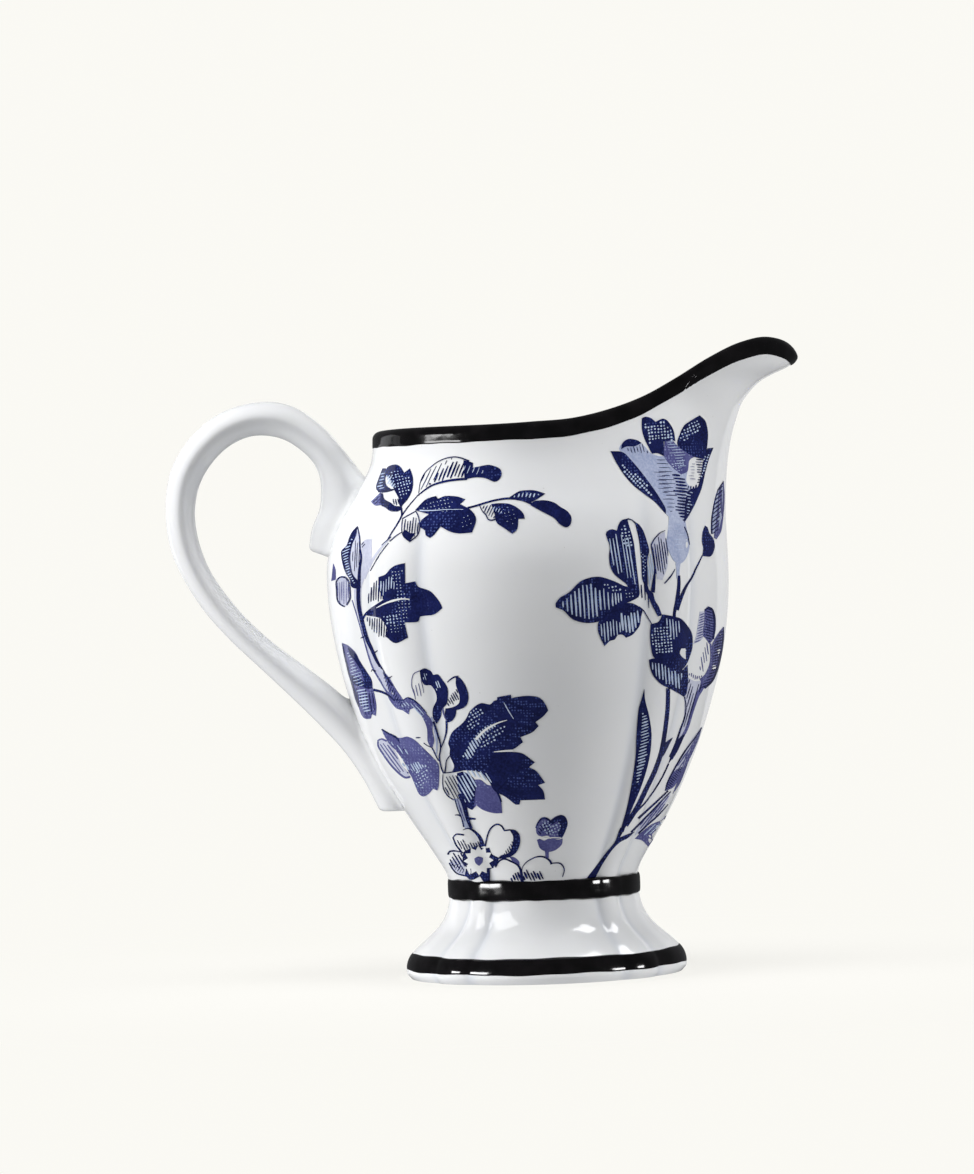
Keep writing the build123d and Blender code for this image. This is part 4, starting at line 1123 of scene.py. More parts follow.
        ("stroke", "ink", [(-16.2, 31.6), (-16.8, 32.0), (-17.5, 32.0)], 0.25, 0.25, 0.1),
    ],
    "star_flower": [
        ("fill", "ink", [(-16.0, 24.6), (-14.8, 25.2), (-13.0, 25.8), (-12.3, 25.2), (-10.9, 25.3),
         (-10.4, 24.0), (-9.0, 23.2), (-9.6, 21.9), (-10.9, 21.3), (-11.0, 18.4), (-12.2, 18.6),
         (-12.9, 19.7), (-14.6, 19.0), (-15.9, 20.0), (-15.6, 21.6), (-16.2, 22.6)]),
        ("star", "reserve", (-13.05, 22.85), 2.95, 2.15, 12),
        ("fill", "eye", [(-13.9, 23.3), (-13.1, 23.7), (-12.2, 23.4), (-12.3, 22.5), (-13.0, 21.8),
         (-13.7, 22.4)]),
        ("stroke", "ink", [(-16.0, 29.0), (-14.9, 29.3), (-13.6, 28.5), (-12.6, 27.2),
         (-12.2, 25.6)], 0.1, 0.5, 0.9),
        ("lines", "ink", [(-16.0, 26.4), (-13.2, 26.9), (-12.2, 25.2), (-16.0, 24.6)], 115, 0.5, 0.22, 0.3),
        ("stroke", "ink", [(-15.8, 28.0), (-17.4, 28.2), (-18.0, 27.5), (-17.4, 26.0),
         (-16.2, 24.4)], 0.3, 0.25, 0.3),
        ("lines", "ink", [(-17.5, 27.4), (-15.9, 27.2), (-15.4, 24.6), (-16.6, 24.8)], 117, 0.5, 0.2, 0.25),
        ("fill", "wash", [(-18.8, 22.7), (-17.9, 23.4), (-16.2, 22.4), (-15.8, 20.2), (-17.6, 20.5)]),
        ("lines", "ink", [(-18.8, 22.4), (-16.6, 22.6), (-15.7, 20.2), (-17.4, 20.6)], 60, 0.5, 0.2, 0.3),
        ("stroke", "ink", [(-19.1, 24.2), (-18.8, 24.8), (-17.6, 24.9), (-16.4, 24.6)], 0.35, 0.3, 0.2),
        ("stroke", "ink", [(-18.9, 22.6), (-18.3, 21.4), (-17.4, 20.4), (-15.4, 19.8)], 0.3, 0.25, 0.3),
        ("lines", "ink", [(-18.9, 23.2), (-18.0, 24.7), (-16.4, 24.6), (-15.6, 21.6), (-15.4, 20.0),
         (-17.2, 20.8)], 120, 0.6, 0.3, 0.25),
    ],
    "heart_petal": [
        ("stroke", "ink", [(-11.7, 25.6), (-11.2, 27.6), (-10.5, 29.1), (-9.3, 29.9), (-8.3, 29.5),
         (-7.8, 28.6), (-6.6, 28.7)], 0.3, 0.3, 0.25),
        ("fill", "ink", [(-6.8, 28.8), (-5.6, 28.6), (-4.8, 27.6), (-4.8, 25.8), (-5.6, 24.2), (-7.0, 23.3),
         (-9.4, 23.0), (-8.6, 23.7), (-7.0, 24.2), (-6.3, 25.8), (-6.1, 27.4)]),
        ("lines", "ink", [(-8.2, 23.8), (-6.6, 26.6), (-6.0, 26.2), (-6.4, 23.8)], 112, 0.48, 0.2, 0.3),
        ("stroke", "ink", [(-9.8, 21.4), (-9.1, 22.5), (-8.0, 23.0), (-6.8, 22.5), (-5.4, 21.7),
         (-4.8, 20.6), (-4.6, 18.4)], 0.3, 0.3, 0.7),
        ("fill", "mid", [(-7.0, 23.4), (-6.0, 23.2), (-5.1, 22.4), (-5.0, 21.7), (-6.2, 22.3)]),
        ("stroke", "ink", [(-10.2, 21.5), (-11.1, 21.1), (-11.2, 18.5)], 0.3, 0.2, 0.2),
        ("lines", "ink", [(-7.4, 18.4), (-5.8, 20.6), (-4.6, 20.4), (-4.6, 18.4)], 112, 0.55, 0.38, 0.2),
    ],
    "waist_petals": [
        ("stroke", "ink", [(-4.6, 20.2), (-4.4, 21.3), (-3.5, 22.3), (-1.8, 23.1), (-0.7, 23.2),
         (0.3, 22.9), (1.1, 22.2), (1.3, 21.6)], 0.1, 0.22, 0.45),
        ("stroke", "ink", [(1.3, 21.8), (2.8, 21.8), (3.5, 21.3), (3.8, 20.3),
         (3.4, 19.0)], 0.15, 0.3, 0.15),
        ("lines", "ink", [(-4.3, 20.8), (-2.6, 20.5), (-0.8, 20.3), (-0.2, 18.4),
         (-4.6, 18.4)], 114, 0.56, 0.42, 0.25),
    ],
    "small_bud": [
        ("fill", "mid", [(-1.5, 28.9), (-1.1, 30.0), (-0.2, 30.8), (0.7, 30.8), (1.4, 30.3), (2.2, 30.9),
         (3.4, 31.3), (4.4, 30.9), (4.8, 29.6), (4.2, 27.9), (3.4, 26.7), (1.6, 26.6), (0.8, 27.3),
         (-0.6, 27.2), (-1.4, 27.8)]),
        ("fill", "ink", [(1.3, 30.2), (2.2, 30.8), (3.4, 31.3), (4.4, 30.9), (4.8, 29.6), (4.2, 27.9),
         (3.4, 26.7), (2.8, 27.6), (3.4, 29.0), (2.8, 30.2), (1.6, 29.4)]),
        ("dots", "light", [(-0.9, 29.8), (0.6, 30.4), (1.6, 29.6), (3.0, 30.2), (3.4, 28.9), (2.4, 27.4),
         (0.4, 27.6)], 24, 0.6, 0.3),
        ("lines", "ink", [(-1.3, 28.8), (-0.4, 30.4), (0.6, 30.2), (1.2, 28.6), (0.6, 27.4),
         (-0.6, 27.4)], 128, 0.56, 0.24, 0.3),
        ("stroke", "ink", [(-1.5, 28.9), (-1.1, 29.9), (-0.2, 30.8), (0.7, 30.7),
         (1.3, 30.2)], 0.3, 0.3, 0.4),
        ("stroke", "ink", [(1.4, 30.2), (1.0, 29.0), (0.9, 27.4)], 0.3, 0.25, 0.1),
        ("stroke", "reserve", [(-1.3, 27.4), (0.3, 26.9), (1.9, 26.9), (3.4, 26.8)], 0.15, 0.2, 0.15),
        ("fill", "mid", [(-1.4, 26.5), (-0.8, 26.7), (0.0, 26.3), (1.0, 26.7), (2.7, 26.4), (3.7, 26.6),
         (3.5, 25.5), (2.4, 24.5), (1.2, 24.1), (0.2, 24.2), (-0.9, 24.9)]),
        ("stroke", "mid", [(0.5, 24.4), (0.5, 22.9)], 0.9, 0.7, 0.7),
    ],
    # the tulip's pale fill is paler print and also a painted reflection of a softbox over the hatching
    "tulip": [
        ("fill", "pale", [(17.6, 103.3), (18.2, 104.6), (19.4, 105.4), (21.1, 105.1), (22.6, 103.8),
         (24.0, 102.3), (26.4, 101.8), (28.7, 103.8), (30.8, 102.3), (31.2, 100.0), (30.6, 96.6),
         (32.0, 94.8), (32.4, 92.5), (30.1, 88.6), (28.0, 88.9), (26.4, 90.3), (24.0, 94.0), (21.0, 98.8)]),
        ("fill", "mid", [(26.4, 101.6), (26.6, 104.8), (28.0, 105.1), (29.2, 103.6), (31.2, 102.4),
         (33.0, 101.6), (31.4, 100.8), (30.9, 98.6), (29.6, 98.0), (28.4, 99.0)]),
        ("lines", "light", [(26.6, 104.6), (28.6, 104.6), (30.8, 102.0), (30.6, 99.4),
         (28.6, 99.4)], 2, 0.55, 0.14, 0.3),
        ("dots", "light", [(27.4, 100.2), (30.0, 101.0), (30.2, 98.8), (28.8, 98.6)], 10, 0.5, 0.2),
        ("fill", "ink", [(15.8, 103.1), (18.2, 102.8), (19.8, 101.2), (22.2, 98.1), (24.8, 94.2),
         (26.3, 91.4), (26.3, 90.3), (24.3, 92.7), (22.2, 94.4), (20.3, 96.0), (18.5, 98.1),
         (16.9, 100.7)]),
        ("dots", "light", [(18.0, 100.6), (21.6, 97.4), (24.4, 93.6), (22.6, 94.6), (20.2, 96.6),
         (18.2, 99.0)], 42, 0.62, 0.42),
        ("lines", "mid", [(16.6, 102.6), (18.4, 102.3), (20.2, 100.2), (18.6, 100.4)], 40, 0.5, 0.25, 0.2),
        ("fill", "ink", [(17.9, 103.4), (18.2, 104.6), (19.4, 105.4), (21.1, 105.1), (22.0, 104.5),
         (20.6, 103.9), (19.0, 103.9)]),
        ("lines", "ink", [(19.0, 103.9), (22.2, 104.5), (23.5, 102.2), (21.0, 102.4),
         (19.0, 102.8)], 102, 0.6, 0.2, 0.3),
        ("fill", "ink", [(22.2, 109.4), (22.9, 109.7), (24.0, 109.4), (24.9, 108.6), (26.4, 109.2),
         (27.4, 108.6), (28.4, 106.8), (28.7, 104.6), (28.0, 104.9), (26.4, 104.6), (26.3, 101.8),
         (25.1, 102.4), (24.0, 102.3), (22.8, 104.9), (22.2, 107.0)]),
        ("dots", "light", [(22.6, 108.4), (24.2, 107.8), (26.2, 108.9), (28.0, 106.6), (28.2, 104.6),
         (25.8, 105.2), (23.6, 104.4)], 4, 0.62, 0.36),
        ("fill", "ink", [(29.1, 103.9), (29.6, 105.9), (30.6, 107.7), (31.9, 108.6), (33.7, 109.6),
         (34.8, 108.4), (35.2, 106.0), (34.9, 103.1), (34.3, 100.8), (32.4, 101.4), (30.8, 102.3)]),
        ("dots", "light", [(29.7, 105.4), (31.2, 107.9), (33.4, 109.0), (34.3, 107.0), (32.4, 105.9),
         (30.4, 104.2)], 20, 0.62, 0.34),
        ("fill", "ink", [(36.2, 103.1), (35.0, 103.0), (34.2, 100.8), (33.5, 97.6), (32.8, 95.4),
         (31.0, 94.8), (30.2, 92.0), (29.9, 88.4), (31.1, 90.2), (32.4, 92.5), (33.6, 95.2), (34.4, 98.2),
         (35.2, 100.8)]),
        ("dots", "light", [(35.4, 102.6), (34.4, 101.4), (33.6, 97.4), (33.2, 95.4), (34.0, 97.4),
         (35.0, 101.0)], 70, 0.55, 0.3),
        ("lines", "ink", [(27.8, 98.6), (30.4, 97.2), (31.6, 94.6), (31.6, 91.0), (30.0, 88.6),
         (28.4, 90.4), (28.0, 94.2)], -8, 0.62, 0.42, 0.2),
        ("lines", "ink", [(32.4, 101.4), (34.6, 101.0), (33.9, 97.0), (32.8, 95.6)], -6, 0.5, 0.22, 0.4),
        ("lines", "ink", [(30.5, 96.2), (33.0, 95.9), (33.1, 94.6), (30.9, 94.6)], 80, 0.5, 0.26, 0.4),
        ("lines", "mid", [(31.2, 100.0), (32.6, 100.2), (32.6, 97.0), (31.0, 96.8)], -4, 0.6, 0.12, 0.4),
        ("lines", "light", [(30.4, 94.6), (32.4, 94.4), (31.4, 90.8), (30.2, 89.4)], -12, 0.6, 0.2, 0.5),
        ("lines", "ink", [(24.4, 101.4), (26.6, 101.2), (28.4, 97.4), (28.6, 92.0), (27.4, 90.4),
         (26.0, 92.4), (25.2, 96.4)], -3, 0.78, 0.15, 0.3),
        ("lines", "ink", [(23.6, 99.4), (27.8, 98.4), (27.8, 94.0), (25.0, 94.4)], -4, 0.8, 0.1, 0.4),
    ],
    # the calyx's pale fill is paler print and also painted reflection
    "tulip_calyx": [
        ("fill", "pale", [(27.0, 90.2), (29.8, 89.3), (30.3, 87.5), (30.8, 84.6), (30.5, 82.4),
         (29.6, 80.8), (28.5, 80.1), (27.5, 81.1), (26.7, 82.8), (26.3, 84.6), (26.7, 87.5)]),
        ("lines", "light", [(27.2, 88.8), (29.6, 88.4), (30.2, 84.0), (28.8, 81.6),
         (27.2, 83.0)], 2, 1.0, 0.1, 0.4),
        ("stroke", "ink", [(29.9, 87.6), (30.5, 86.0), (30.8, 84.0)], 0.2, 0.2, 0.1),
        ("stroke", "pale", [(28.4, 80.4), (28.3, 77.4)], 1.0, 0.6, 0.6),
        ("stroke", "ink", [(28.5, 78.0), (28.4, 75.7), (28.0, 73.2), (27.4, 70.8),
         (27.3, 69.6)], 0.5, 0.75, 0.5),
        ("stroke", "ink", [(33.3, 81.8), (31.9, 79.2), (31.1, 77.6), (29.8, 75.7), (28.7, 73.4),
         (27.8, 71.2)], 0.2, 0.4, 0.9),
        ("stroke", "ink", [(27.8, 79.3), (26.9, 77.9), (25.6, 76.5)], 0.08, 0.28, 0.2),
    ],
    "lip_bud": [
        ("fill", "pale", [(37.9, 96.3), (36.8, 94.6), (36.1, 92.0), (35.4, 88.2), (35.4, 86.1),
         (36.6, 86.6), (37.4, 90.0)]),
        ("fill", "ink", [(34.0, 87.7), (34.5, 87.3), (34.8, 86.2), (35.6, 84.9), (35.8, 83.5), (35.3, 82.0),
         (34.7, 81.5), (33.3, 81.7), (33.5, 83.3), (33.3, 84.6), (33.5, 86.4)]),
        ("fill", "mid", [(38.0, 96.5), (37.0, 94.4), (36.6, 91.0), (36.0, 87.4), (35.7, 85.2), (36.2, 84.9),
         (37.2, 86.6), (37.8, 90.2), (38.1, 93.6)]),
        ("lines", "ink", [(37.8, 96.0), (36.7, 94.6), (36.0, 92.0), (35.3, 88.2), (35.3, 86.0),
         (36.4, 86.4), (37.2, 90.0)], 38, 0.6, 0.26, 0.1),
        ("stroke", "ink", [(38.0, 96.4), (36.8, 94.6), (36.0, 92.0), (35.4, 88.8),
         (35.3, 86.0)], 0.1, 0.2, 0.3),
    ],
    "wing_petals": [
        ("fill", "ink", [(14.3, 86.7), (14.8, 87.4), (15.6, 87.6), (16.5, 87.3), (17.0, 88.7), (17.7, 89.4),
         (18.7, 89.6), (18.9, 88.4), (19.4, 86.6), (19.8, 84.6), (20.1, 81.0), (20.4, 77.4), (20.6, 74.7),
         (20.3, 73.9), (18.8, 74.4), (18.2, 76.4), (16.4, 78.0), (15.5, 79.0), (14.9, 80.6), (14.8, 82.4),
         (15.0, 84.2)]),
        ("lines", "light", [(14.9, 86.6), (16.3, 86.8), (17.0, 82.8), (17.6, 78.2), (16.0, 79.2),
         (15.2, 82.0)], 97, 0.66, 0.3, 0.12),
        ("lines", "light", [(16.8, 87.2), (18.6, 86.4), (19.4, 82.0), (20.0, 76.2), (18.6, 77.2),
         (17.4, 81.0)], 97, 0.62, 0.22, 0.12),
        ("dots", "light", [(16.9, 87.6), (18.4, 88.6), (19.0, 86.6), (19.5, 84.0),
         (17.8, 84.6)], 8, 0.66, 0.36),
        ("stroke", "ink", [(18.7, 89.55), (19.6, 89.3), (20.2, 88.7)], 0.3, 0.15, 0.3),
        ("fill", "ink", [(20.1, 88.9), (20.9, 88.4), (21.7, 87.2), (22.3, 85.4), (22.8, 83.2), (22.4, 81.4),
         (22.3, 79.0), (22.3, 76.4), (21.6, 76.4), (21.2, 77.6), (21.1, 82.0), (20.8, 85.6)]),
        ("dots", "light", [(21.1, 83.2), (21.8, 82.8), (21.8, 77.4), (21.2, 77.8)], 45, 0.5, 0.22),
        ("lines", "ink", [(20.9, 77.0), (22.4, 76.4), (23.2, 72.6), (22.0, 71.4),
         (21.0, 73.6)], 92, 0.6, 0.22, 0.35),
        ("fill", "ink", [(22.0, 77.0), (22.6, 75.2), (23.3, 74.6), (23.6, 73.2), (24.3, 72.0), (24.9, 70.2),
         (24.1, 70.0), (23.2, 71.8), (22.4, 73.8), (21.6, 75.8)]),
        ("stroke", "ink", [(23.2, 84.2), (23.6, 81.6), (23.8, 79.4), (23.5, 76.8),
         (23.2, 74.8)], 0.2, 0.3, 0.9),
        ("stroke", "ink", [(23.2, 84.2), (24.0, 85.5), (25.1, 86.6), (26.1, 87.0)], 0.25, 0.2, 0.1),
        ("fill", "wash", [(23.3, 84.0), (24.2, 85.6), (26.0, 86.8), (26.3, 83.6), (26.4, 80.2),
         (25.2, 77.2), (24.2, 77.4), (23.9, 80.6)]),
        ("lines", "ink", [(23.2, 84.0), (24.2, 85.6), (26.2, 86.8), (26.4, 83.6), (26.6, 80.2),
         (25.2, 77.2), (24.2, 77.6), (23.8, 80.6)], 96, 0.46, 0.26, 0.25),
        ("lines", "light", [(22.4, 82.4), (23.3, 82.6), (23.5, 78.4), (22.8, 75.6),
         (22.4, 78.0)], 95, 0.45, 0.25, 0.1),
    ],
    "side_leaf": [
        ("fill", "ink", [(3.9, 73.3), (4.8, 74.4), (6.0, 75.0), (7.0, 75.7), (9.2, 77.6), (12.4, 78.3),
         (15.4, 77.4), (17.8, 76.2), (19.4, 76.0), (20.5, 75.0), (20.3, 74.0), (18.8, 73.2), (17.0, 72.5),
         (15.2, 71.4), (13.2, 70.3), (12.3, 69.4), (9.8, 69.2), (7.2, 70.0), (5.4, 71.8), (3.9, 72.5)]),
        ("lines", "light", [(4.8, 73.2), (7.0, 75.0), (9.4, 76.8), (11.0, 77.0), (13.0, 75.2), (12.8, 71.4),
         (11.6, 69.9), (8.4, 70.2), (6.2, 71.6)], 92, 0.82, 0.38, 0.07),
        ("lines", "light", [(13.0, 76.4), (14.6, 75.4), (15.6, 72.6), (13.6, 71.0),
         (12.8, 71.8)], 92, 0.8, 0.3, 0.15),
        ("dots", "light", [(13.2, 77.0), (15.6, 76.6), (17.4, 75.6), (14.8, 75.4)], 8, 0.7, 0.34),
        ("lines", "light", [(14.8, 74.9), (17.0, 75.2), (17.2, 73.2), (15.4, 72.4)], 92, 0.56, 0.26, 0.15),
        ("dots", "light", [(17.4, 75.6), (19.8, 75.2), (19.6, 74.2), (17.6, 74.0)], 4, 0.66, 0.2),
    ],
    "under_petals": [
        ("fill", "ink", [(12.3, 69.4), (13.4, 70.6), (15.2, 71.4), (16.6, 72.5), (18.6, 72.9), (19.9, 72.4),
         (21.0, 71.4), (20.7, 70.0), (20.4, 68.4), (19.6, 67.3), (18.8, 66.5), (17.6, 66.0), (17.0, 66.6),
         (16.0, 66.6), (15.3, 65.7), (14.4, 65.5), (13.3, 64.5), (12.6, 66.0), (12.1, 67.6)]),
        ("lines", "light", [(12.5, 69.2), (15.2, 70.0), (16.6, 69.0), (16.6, 66.9), (15.4, 66.2),
         (13.4, 65.2), (12.5, 67.2)], 92, 0.62, 0.28, 0.15),
        ("lines", "light", [(16.2, 71.4), (18.0, 70.8), (20.3, 71.6), (20.3, 69.2), (19.3, 67.3),
         (18.0, 66.7), (16.8, 67.4)], 94, 0.64, 0.42, 0.12),
        ("stroke", "ink", [(20.4, 72.0), (21.3, 71.2), (22.0, 70.0), (22.9, 68.4)], 0.3, 0.16, 0.16),
    ],
    "round_flower": [
        ("fill", "ink", [(22.6, 68.5), (22.4, 66.4), (22.5, 64.0), (23.1, 61.8), (25.4, 61.0), (26.6, 59.8),
         (28.4, 59.2), (29.3, 60.2), (30.0, 61.6), (30.7, 63.8), (30.7, 66.3), (29.9, 67.9), (28.6, 69.4),
         (26.5, 70.1), (25.0, 70.4), (24.2, 69.0)]),
        ("dots", "light", [(22.8, 68.2), (25.8, 68.2), (26.8, 65.0), (26.6, 62.6), (23.4, 62.4),
         (22.8, 65.0)], 3, 0.6, 0.34),
        ("lines", "light", [(25.2, 70.0), (28.3, 69.0), (28.4, 67.2), (27.4, 65.2), (26.2, 65.6),
         (25.8, 68.0)], 92, 0.58, 0.26, 0.15),
        ("fill", "reserve", [(28.4, 63.5), (29.2, 63.5), (29.5, 62.4), (29.3, 61.3), (28.6, 61.8),
         (28.1, 62.6)]),
        ("fill", "ink", [(22.0, 61.5), (23.2, 61.7), (25.4, 61.0), (27.0, 59.8), (28.6, 59.2), (29.6, 60.2),
         (29.6, 57.0), (29.2, 54.6), (28.7, 53.9), (26.5, 55.3), (24.2, 56.6), (22.8, 58.2), (22.2, 59.8)]),
        ("lines", "light", [(22.4, 61.0), (24.8, 61.0), (26.4, 59.6), (28.6, 58.6), (28.4, 55.0),
         (26.4, 56.0), (24.2, 57.2), (22.9, 58.8)], 92, 0.62, 0.3, 0.15),
    ],
    "lip_flower": [
        ("fill", "wash", [(32.4, 70.7), (33.3, 70.7), (33.4, 68.6), (33.0, 65.7), (32.1, 64.8),
         (30.9, 64.3), (31.5, 65.9), (31.9, 67.9)]),
        ("lines", "mid", [(32.4, 70.5), (33.3, 70.6), (33.4, 68.6), (33.0, 65.7), (32.1, 64.8),
         (30.9, 64.3), (31.5, 65.9), (31.9, 67.9)], 20, 0.46, 0.24, 0.15),
        ("fill", "mid", [(33.4, 71.0), (34.1, 71.6), (34.7, 71.1), (35.2, 69.6), (35.2, 67.4), (34.8, 65.1),
         (34.1, 64.2), (33.3, 65.4), (32.8, 66.0), (33.2, 68.6)]),
        ("lines", "ink", [(33.4, 70.9), (34.1, 71.4), (34.7, 71.0), (35.1, 69.6), (35.1, 67.4),
         (34.7, 65.2), (34.1, 64.5), (33.3, 65.6), (32.9, 66.2), (33.2, 68.6)], 160, 0.5, 0.28, 0.15),
        ("stroke", "ink", [(33.4, 70.9), (34.1, 71.5), (34.8, 71.1), (35.2, 69.6), (35.2, 67.4),
         (34.8, 65.1)], 0.3, 0.5, 0.4),
        ("lines", "mid", [(32.7, 65.1), (33.7, 64.6), (34.0, 62.5), (33.8, 60.1), (32.8, 58.1),
         (31.8, 58.4), (32.1, 62.0)], 96, 0.5, 0.15, 0.4),
        ("lines", "mid", [(29.8, 58.1), (30.2, 59.0), (31.9, 58.0), (33.0, 58.3), (31.9, 57.3),
         (30.8, 57.1)], 80, 0.4, 0.18, 0.3),
        ("stroke", "mid", [(34.3, 64.3), (34.4, 62.3), (34.2, 60.1), (33.2, 57.9),
         (32.1, 57.0)], 0.3, 0.5, 0.8),
        ("fill", "mid", [(37.0, 67.5), (36.1, 66.5), (34.9, 64.7), (34.6, 63.8), (34.4, 60.8), (33.9, 58.7),
         (32.7, 57.2), (31.9, 55.3), (32.9, 55.5), (34.3, 56.8), (35.3, 58.9), (36.2, 61.8), (36.8, 64.8)]),
        ("lines", "ink", [(36.9, 67.4), (36.2, 66.4), (35.1, 64.6), (34.7, 63.7), (34.5, 60.8),
         (34.0, 58.7), (32.8, 57.2), (32.0, 55.5), (32.9, 55.6), (34.2, 56.9), (35.2, 59.0), (36.1, 61.9),
         (36.7, 64.8)], 18, 0.5, 0.25, 0.15),
        ("stroke", "ink", [(37.0, 67.5), (36.8, 64.8), (36.2, 61.8), (35.3, 58.8), (34.3, 56.8),
         (32.8, 55.5)], 0.2, 0.4, 0.4),
    ],
    "lip_stems": [
        ("stroke", "ink", [(25.6, 55.7), (25.4, 52.0), (24.9, 48.4), (23.9, 43.4), (22.5, 39.6),
         (20.6, 35.9), (18.6, 32.2), (16.3, 28.8)], 0.75, 0.85, 0.9),
        ("fill", "ink", [(26.2, 45.9), (24.8, 45.0), (23.7, 43.1), (23.4, 41.6), (24.3, 42.5),
         (25.2, 44.1)]),
        ("fill", "wash", [(29.5, 57.7), (31.1, 56.9), (32.8, 57.2), (32.7, 55.5), (31.7, 55.1),
         (31.0, 53.1), (29.8, 50.2), (28.9, 47.4), (27.9, 45.3), (26.9, 43.8), (25.4, 40.9), (26.7, 44.9),
         (27.7, 47.5), (28.5, 49.7), (28.8, 52.6), (29.0, 54.0)]),
        ("lines", "ink", [(29.8, 57.5), (31.1, 56.7), (32.6, 56.9), (32.2, 55.5), (31.0, 53.2),
         (29.8, 50.3), (28.8, 47.4), (27.6, 45.3), (28.1, 47.8), (28.6, 49.6), (28.9, 52.6),
         (29.2, 54.0)], 72, 0.5, 0.2, 0.25),
        ("stroke", "mid", [(32.6, 56.9), (32.2, 55.5), (31.3, 54.0), (30.2, 51.1), (29.1, 47.8),
         (27.6, 45.1), (25.8, 41.7)], 0.9, 0.6, 0.5),
        ("stroke", "ink", [(28.8, 53.9), (29.0, 51.8), (28.6, 49.6), (27.7, 47.3), (26.7, 44.6),
         (25.5, 42.0)], 0.2, 0.3, 0.4),
        ("fill", "ink", [(28.7, 46.6), (27.8, 46.1), (26.8, 44.8), (25.9, 42.9), (25.2, 40.9), (26.4, 42.2),
         (27.4, 43.9)]),
        ("stroke", "ink", [(25.2, 40.8), (24.0, 38.4), (22.4, 35.9), (20.3, 33.2), (18.7, 31.6),
         (17.1, 29.7)], 0.25, 0.25, 0.3),
        ("fill", "ink", [(20.9, 55.7), (20.3, 53.8), (19.6, 51.6), (19.0, 46.4), (18.7, 42.5), (17.9, 37.8),
         (16.7, 32.5), (15.1, 27.5), (15.8, 27.5), (17.4, 31.6), (19.8, 36.9), (21.4, 42.0), (22.0, 46.6),
         (21.6, 50.6), (21.0, 53.4)]),
        ("lines", "light", [(20.3, 51.0), (21.4, 50.4), (21.5, 46.0), (20.9, 42.0), (19.4, 38.0),
         (18.6, 36.4), (18.7, 40.0), (19.4, 44.0)], 18, 0.56, 0.26, 0.2),
        ("fill", "ink", [(15.2, 28.3), (14.0, 25.6), (12.1, 23.4), (10.2, 21.0), (8.2, 18.6), (9.7, 18.5),
         (11.5, 21.4), (13.4, 24.0), (15.0, 25.5), (16.6, 26.3), (18.0, 27.5), (16.2, 26.9), (15.0, 26.4),
         (16.4, 28.8)]),
    ],
    "lip_blades": [
        ("stroke", "ink", [(24.9, 35.4), (22.8, 33.5), (20.7, 31.7), (18.8, 30.1)], 0.25, 0.35, 0.4),
        ("fill", "wash", [(31.9, 47.7), (30.9, 45.9), (29.6, 43.4), (28.4, 40.8), (27.4, 38.3),
         (26.0, 36.1), (24.5, 35.4), (24.9, 36.9), (26.1, 39.1), (27.5, 41.6), (28.8, 43.8), (30.4, 45.9)]),
        ("fill", "mid", [(32.0, 47.7), (31.4, 45.7), (30.3, 43.3), (29.2, 41.2), (28.3, 39.0), (27.3, 36.8),
         (25.8, 34.7), (27.0, 37.6), (27.8, 39.9), (28.8, 42.5), (30.4, 45.2)]),
        ("fill", "mid", [(28.1, 39.9), (26.9, 39.6), (25.5, 38.4), (24.5, 36.2), (24.4, 35.4), (26.0, 36.1),
         (27.2, 37.9)]),
        ("lines", "ink", [(27.1, 40.0), (28.0, 39.9), (27.0, 37.9), (25.6, 35.9), (24.5, 35.4),
         (24.9, 37.3)], 140, 0.42, 0.22, 0.2),
        ("lines", "mid", [(31.5, 46.8), (30.4, 45.7), (28.5, 43.0), (26.9, 40.9), (26.5, 39.6),
         (27.6, 39.9), (29.2, 42.3), (30.7, 44.8)], 52, 0.5, 0.22, 0.25),
        ("stroke", "ink", [(32.0, 47.7), (30.4, 45.5), (28.5, 43.1), (26.5, 40.0), (24.9, 37.1),
         (24.4, 35.4)], 0.2, 0.3, 0.25),
        ("fill", "wash", [(25.4, 35.0), (24.8, 33.6), (23.3, 31.4), (21.4, 29.7), (19.1, 27.5),
         (18.0, 26.7), (19.1, 28.8), (21.4, 31.1), (23.3, 33.3), (24.5, 34.7)]),
        ("lines", "mid", [(25.2, 34.9), (24.8, 33.6), (23.3, 31.4), (21.4, 29.7), (19.1, 27.5),
         (19.1, 28.8), (21.4, 31.1), (23.3, 33.3), (24.5, 34.7)], 50, 0.42, 0.24, 0.25),
        ("stroke", "ink", [(25.4, 35.2), (23.7, 33.6), (21.4, 31.3), (19.2, 29.2),
         (17.3, 27.4)], 0.15, 0.3, 0.35),
        ("stroke", "ink", [(24.8, 32.7), (22.9, 30.7), (20.6, 28.8), (18.7, 27.1)], 0.1, 0.3, 0.35),
        ("fill", "mid", [(24.4, 30.5), (23.4, 29.6), (21.4, 28.8), (19.1, 27.1), (18.0, 26.1), (19.4, 25.7),
         (20.6, 24.4), (22.0, 26.3), (23.4, 28.3)]),
        ("lines", "light", [(23.8, 30.0), (21.7, 28.7), (19.5, 27.1), (19.1, 26.6), (20.9, 26.9),
         (22.8, 28.3)], 42, 0.6, 0.2, 0.2),
    ],
}


def draw_motif(name, marks):
    """One piece for each tone of a motif on the front, and their mirror images on the back."""
    tones = {}
    for mark, tone, where, *numbers in marks:
        if tone not in tones:
            tones[tone] = Shells(tone)
        getattr(tones[tone], mark)(where, *numbers)
    laid = {tone: shells.on_jug() for tone, shells in tones.items()}
    furthest = max(reach for _, _, reach in laid.values())
    for tone, (vertices, faces, _) in laid.items():
        add_print(f"{name}_{tone}_front", tone, vertices, faces)
        if furthest < BACK_LIMIT:
            add_print(f"{name}_{tone}_back", tone, vertices * (1, -1, 1), [face[::-1] for face in faces])


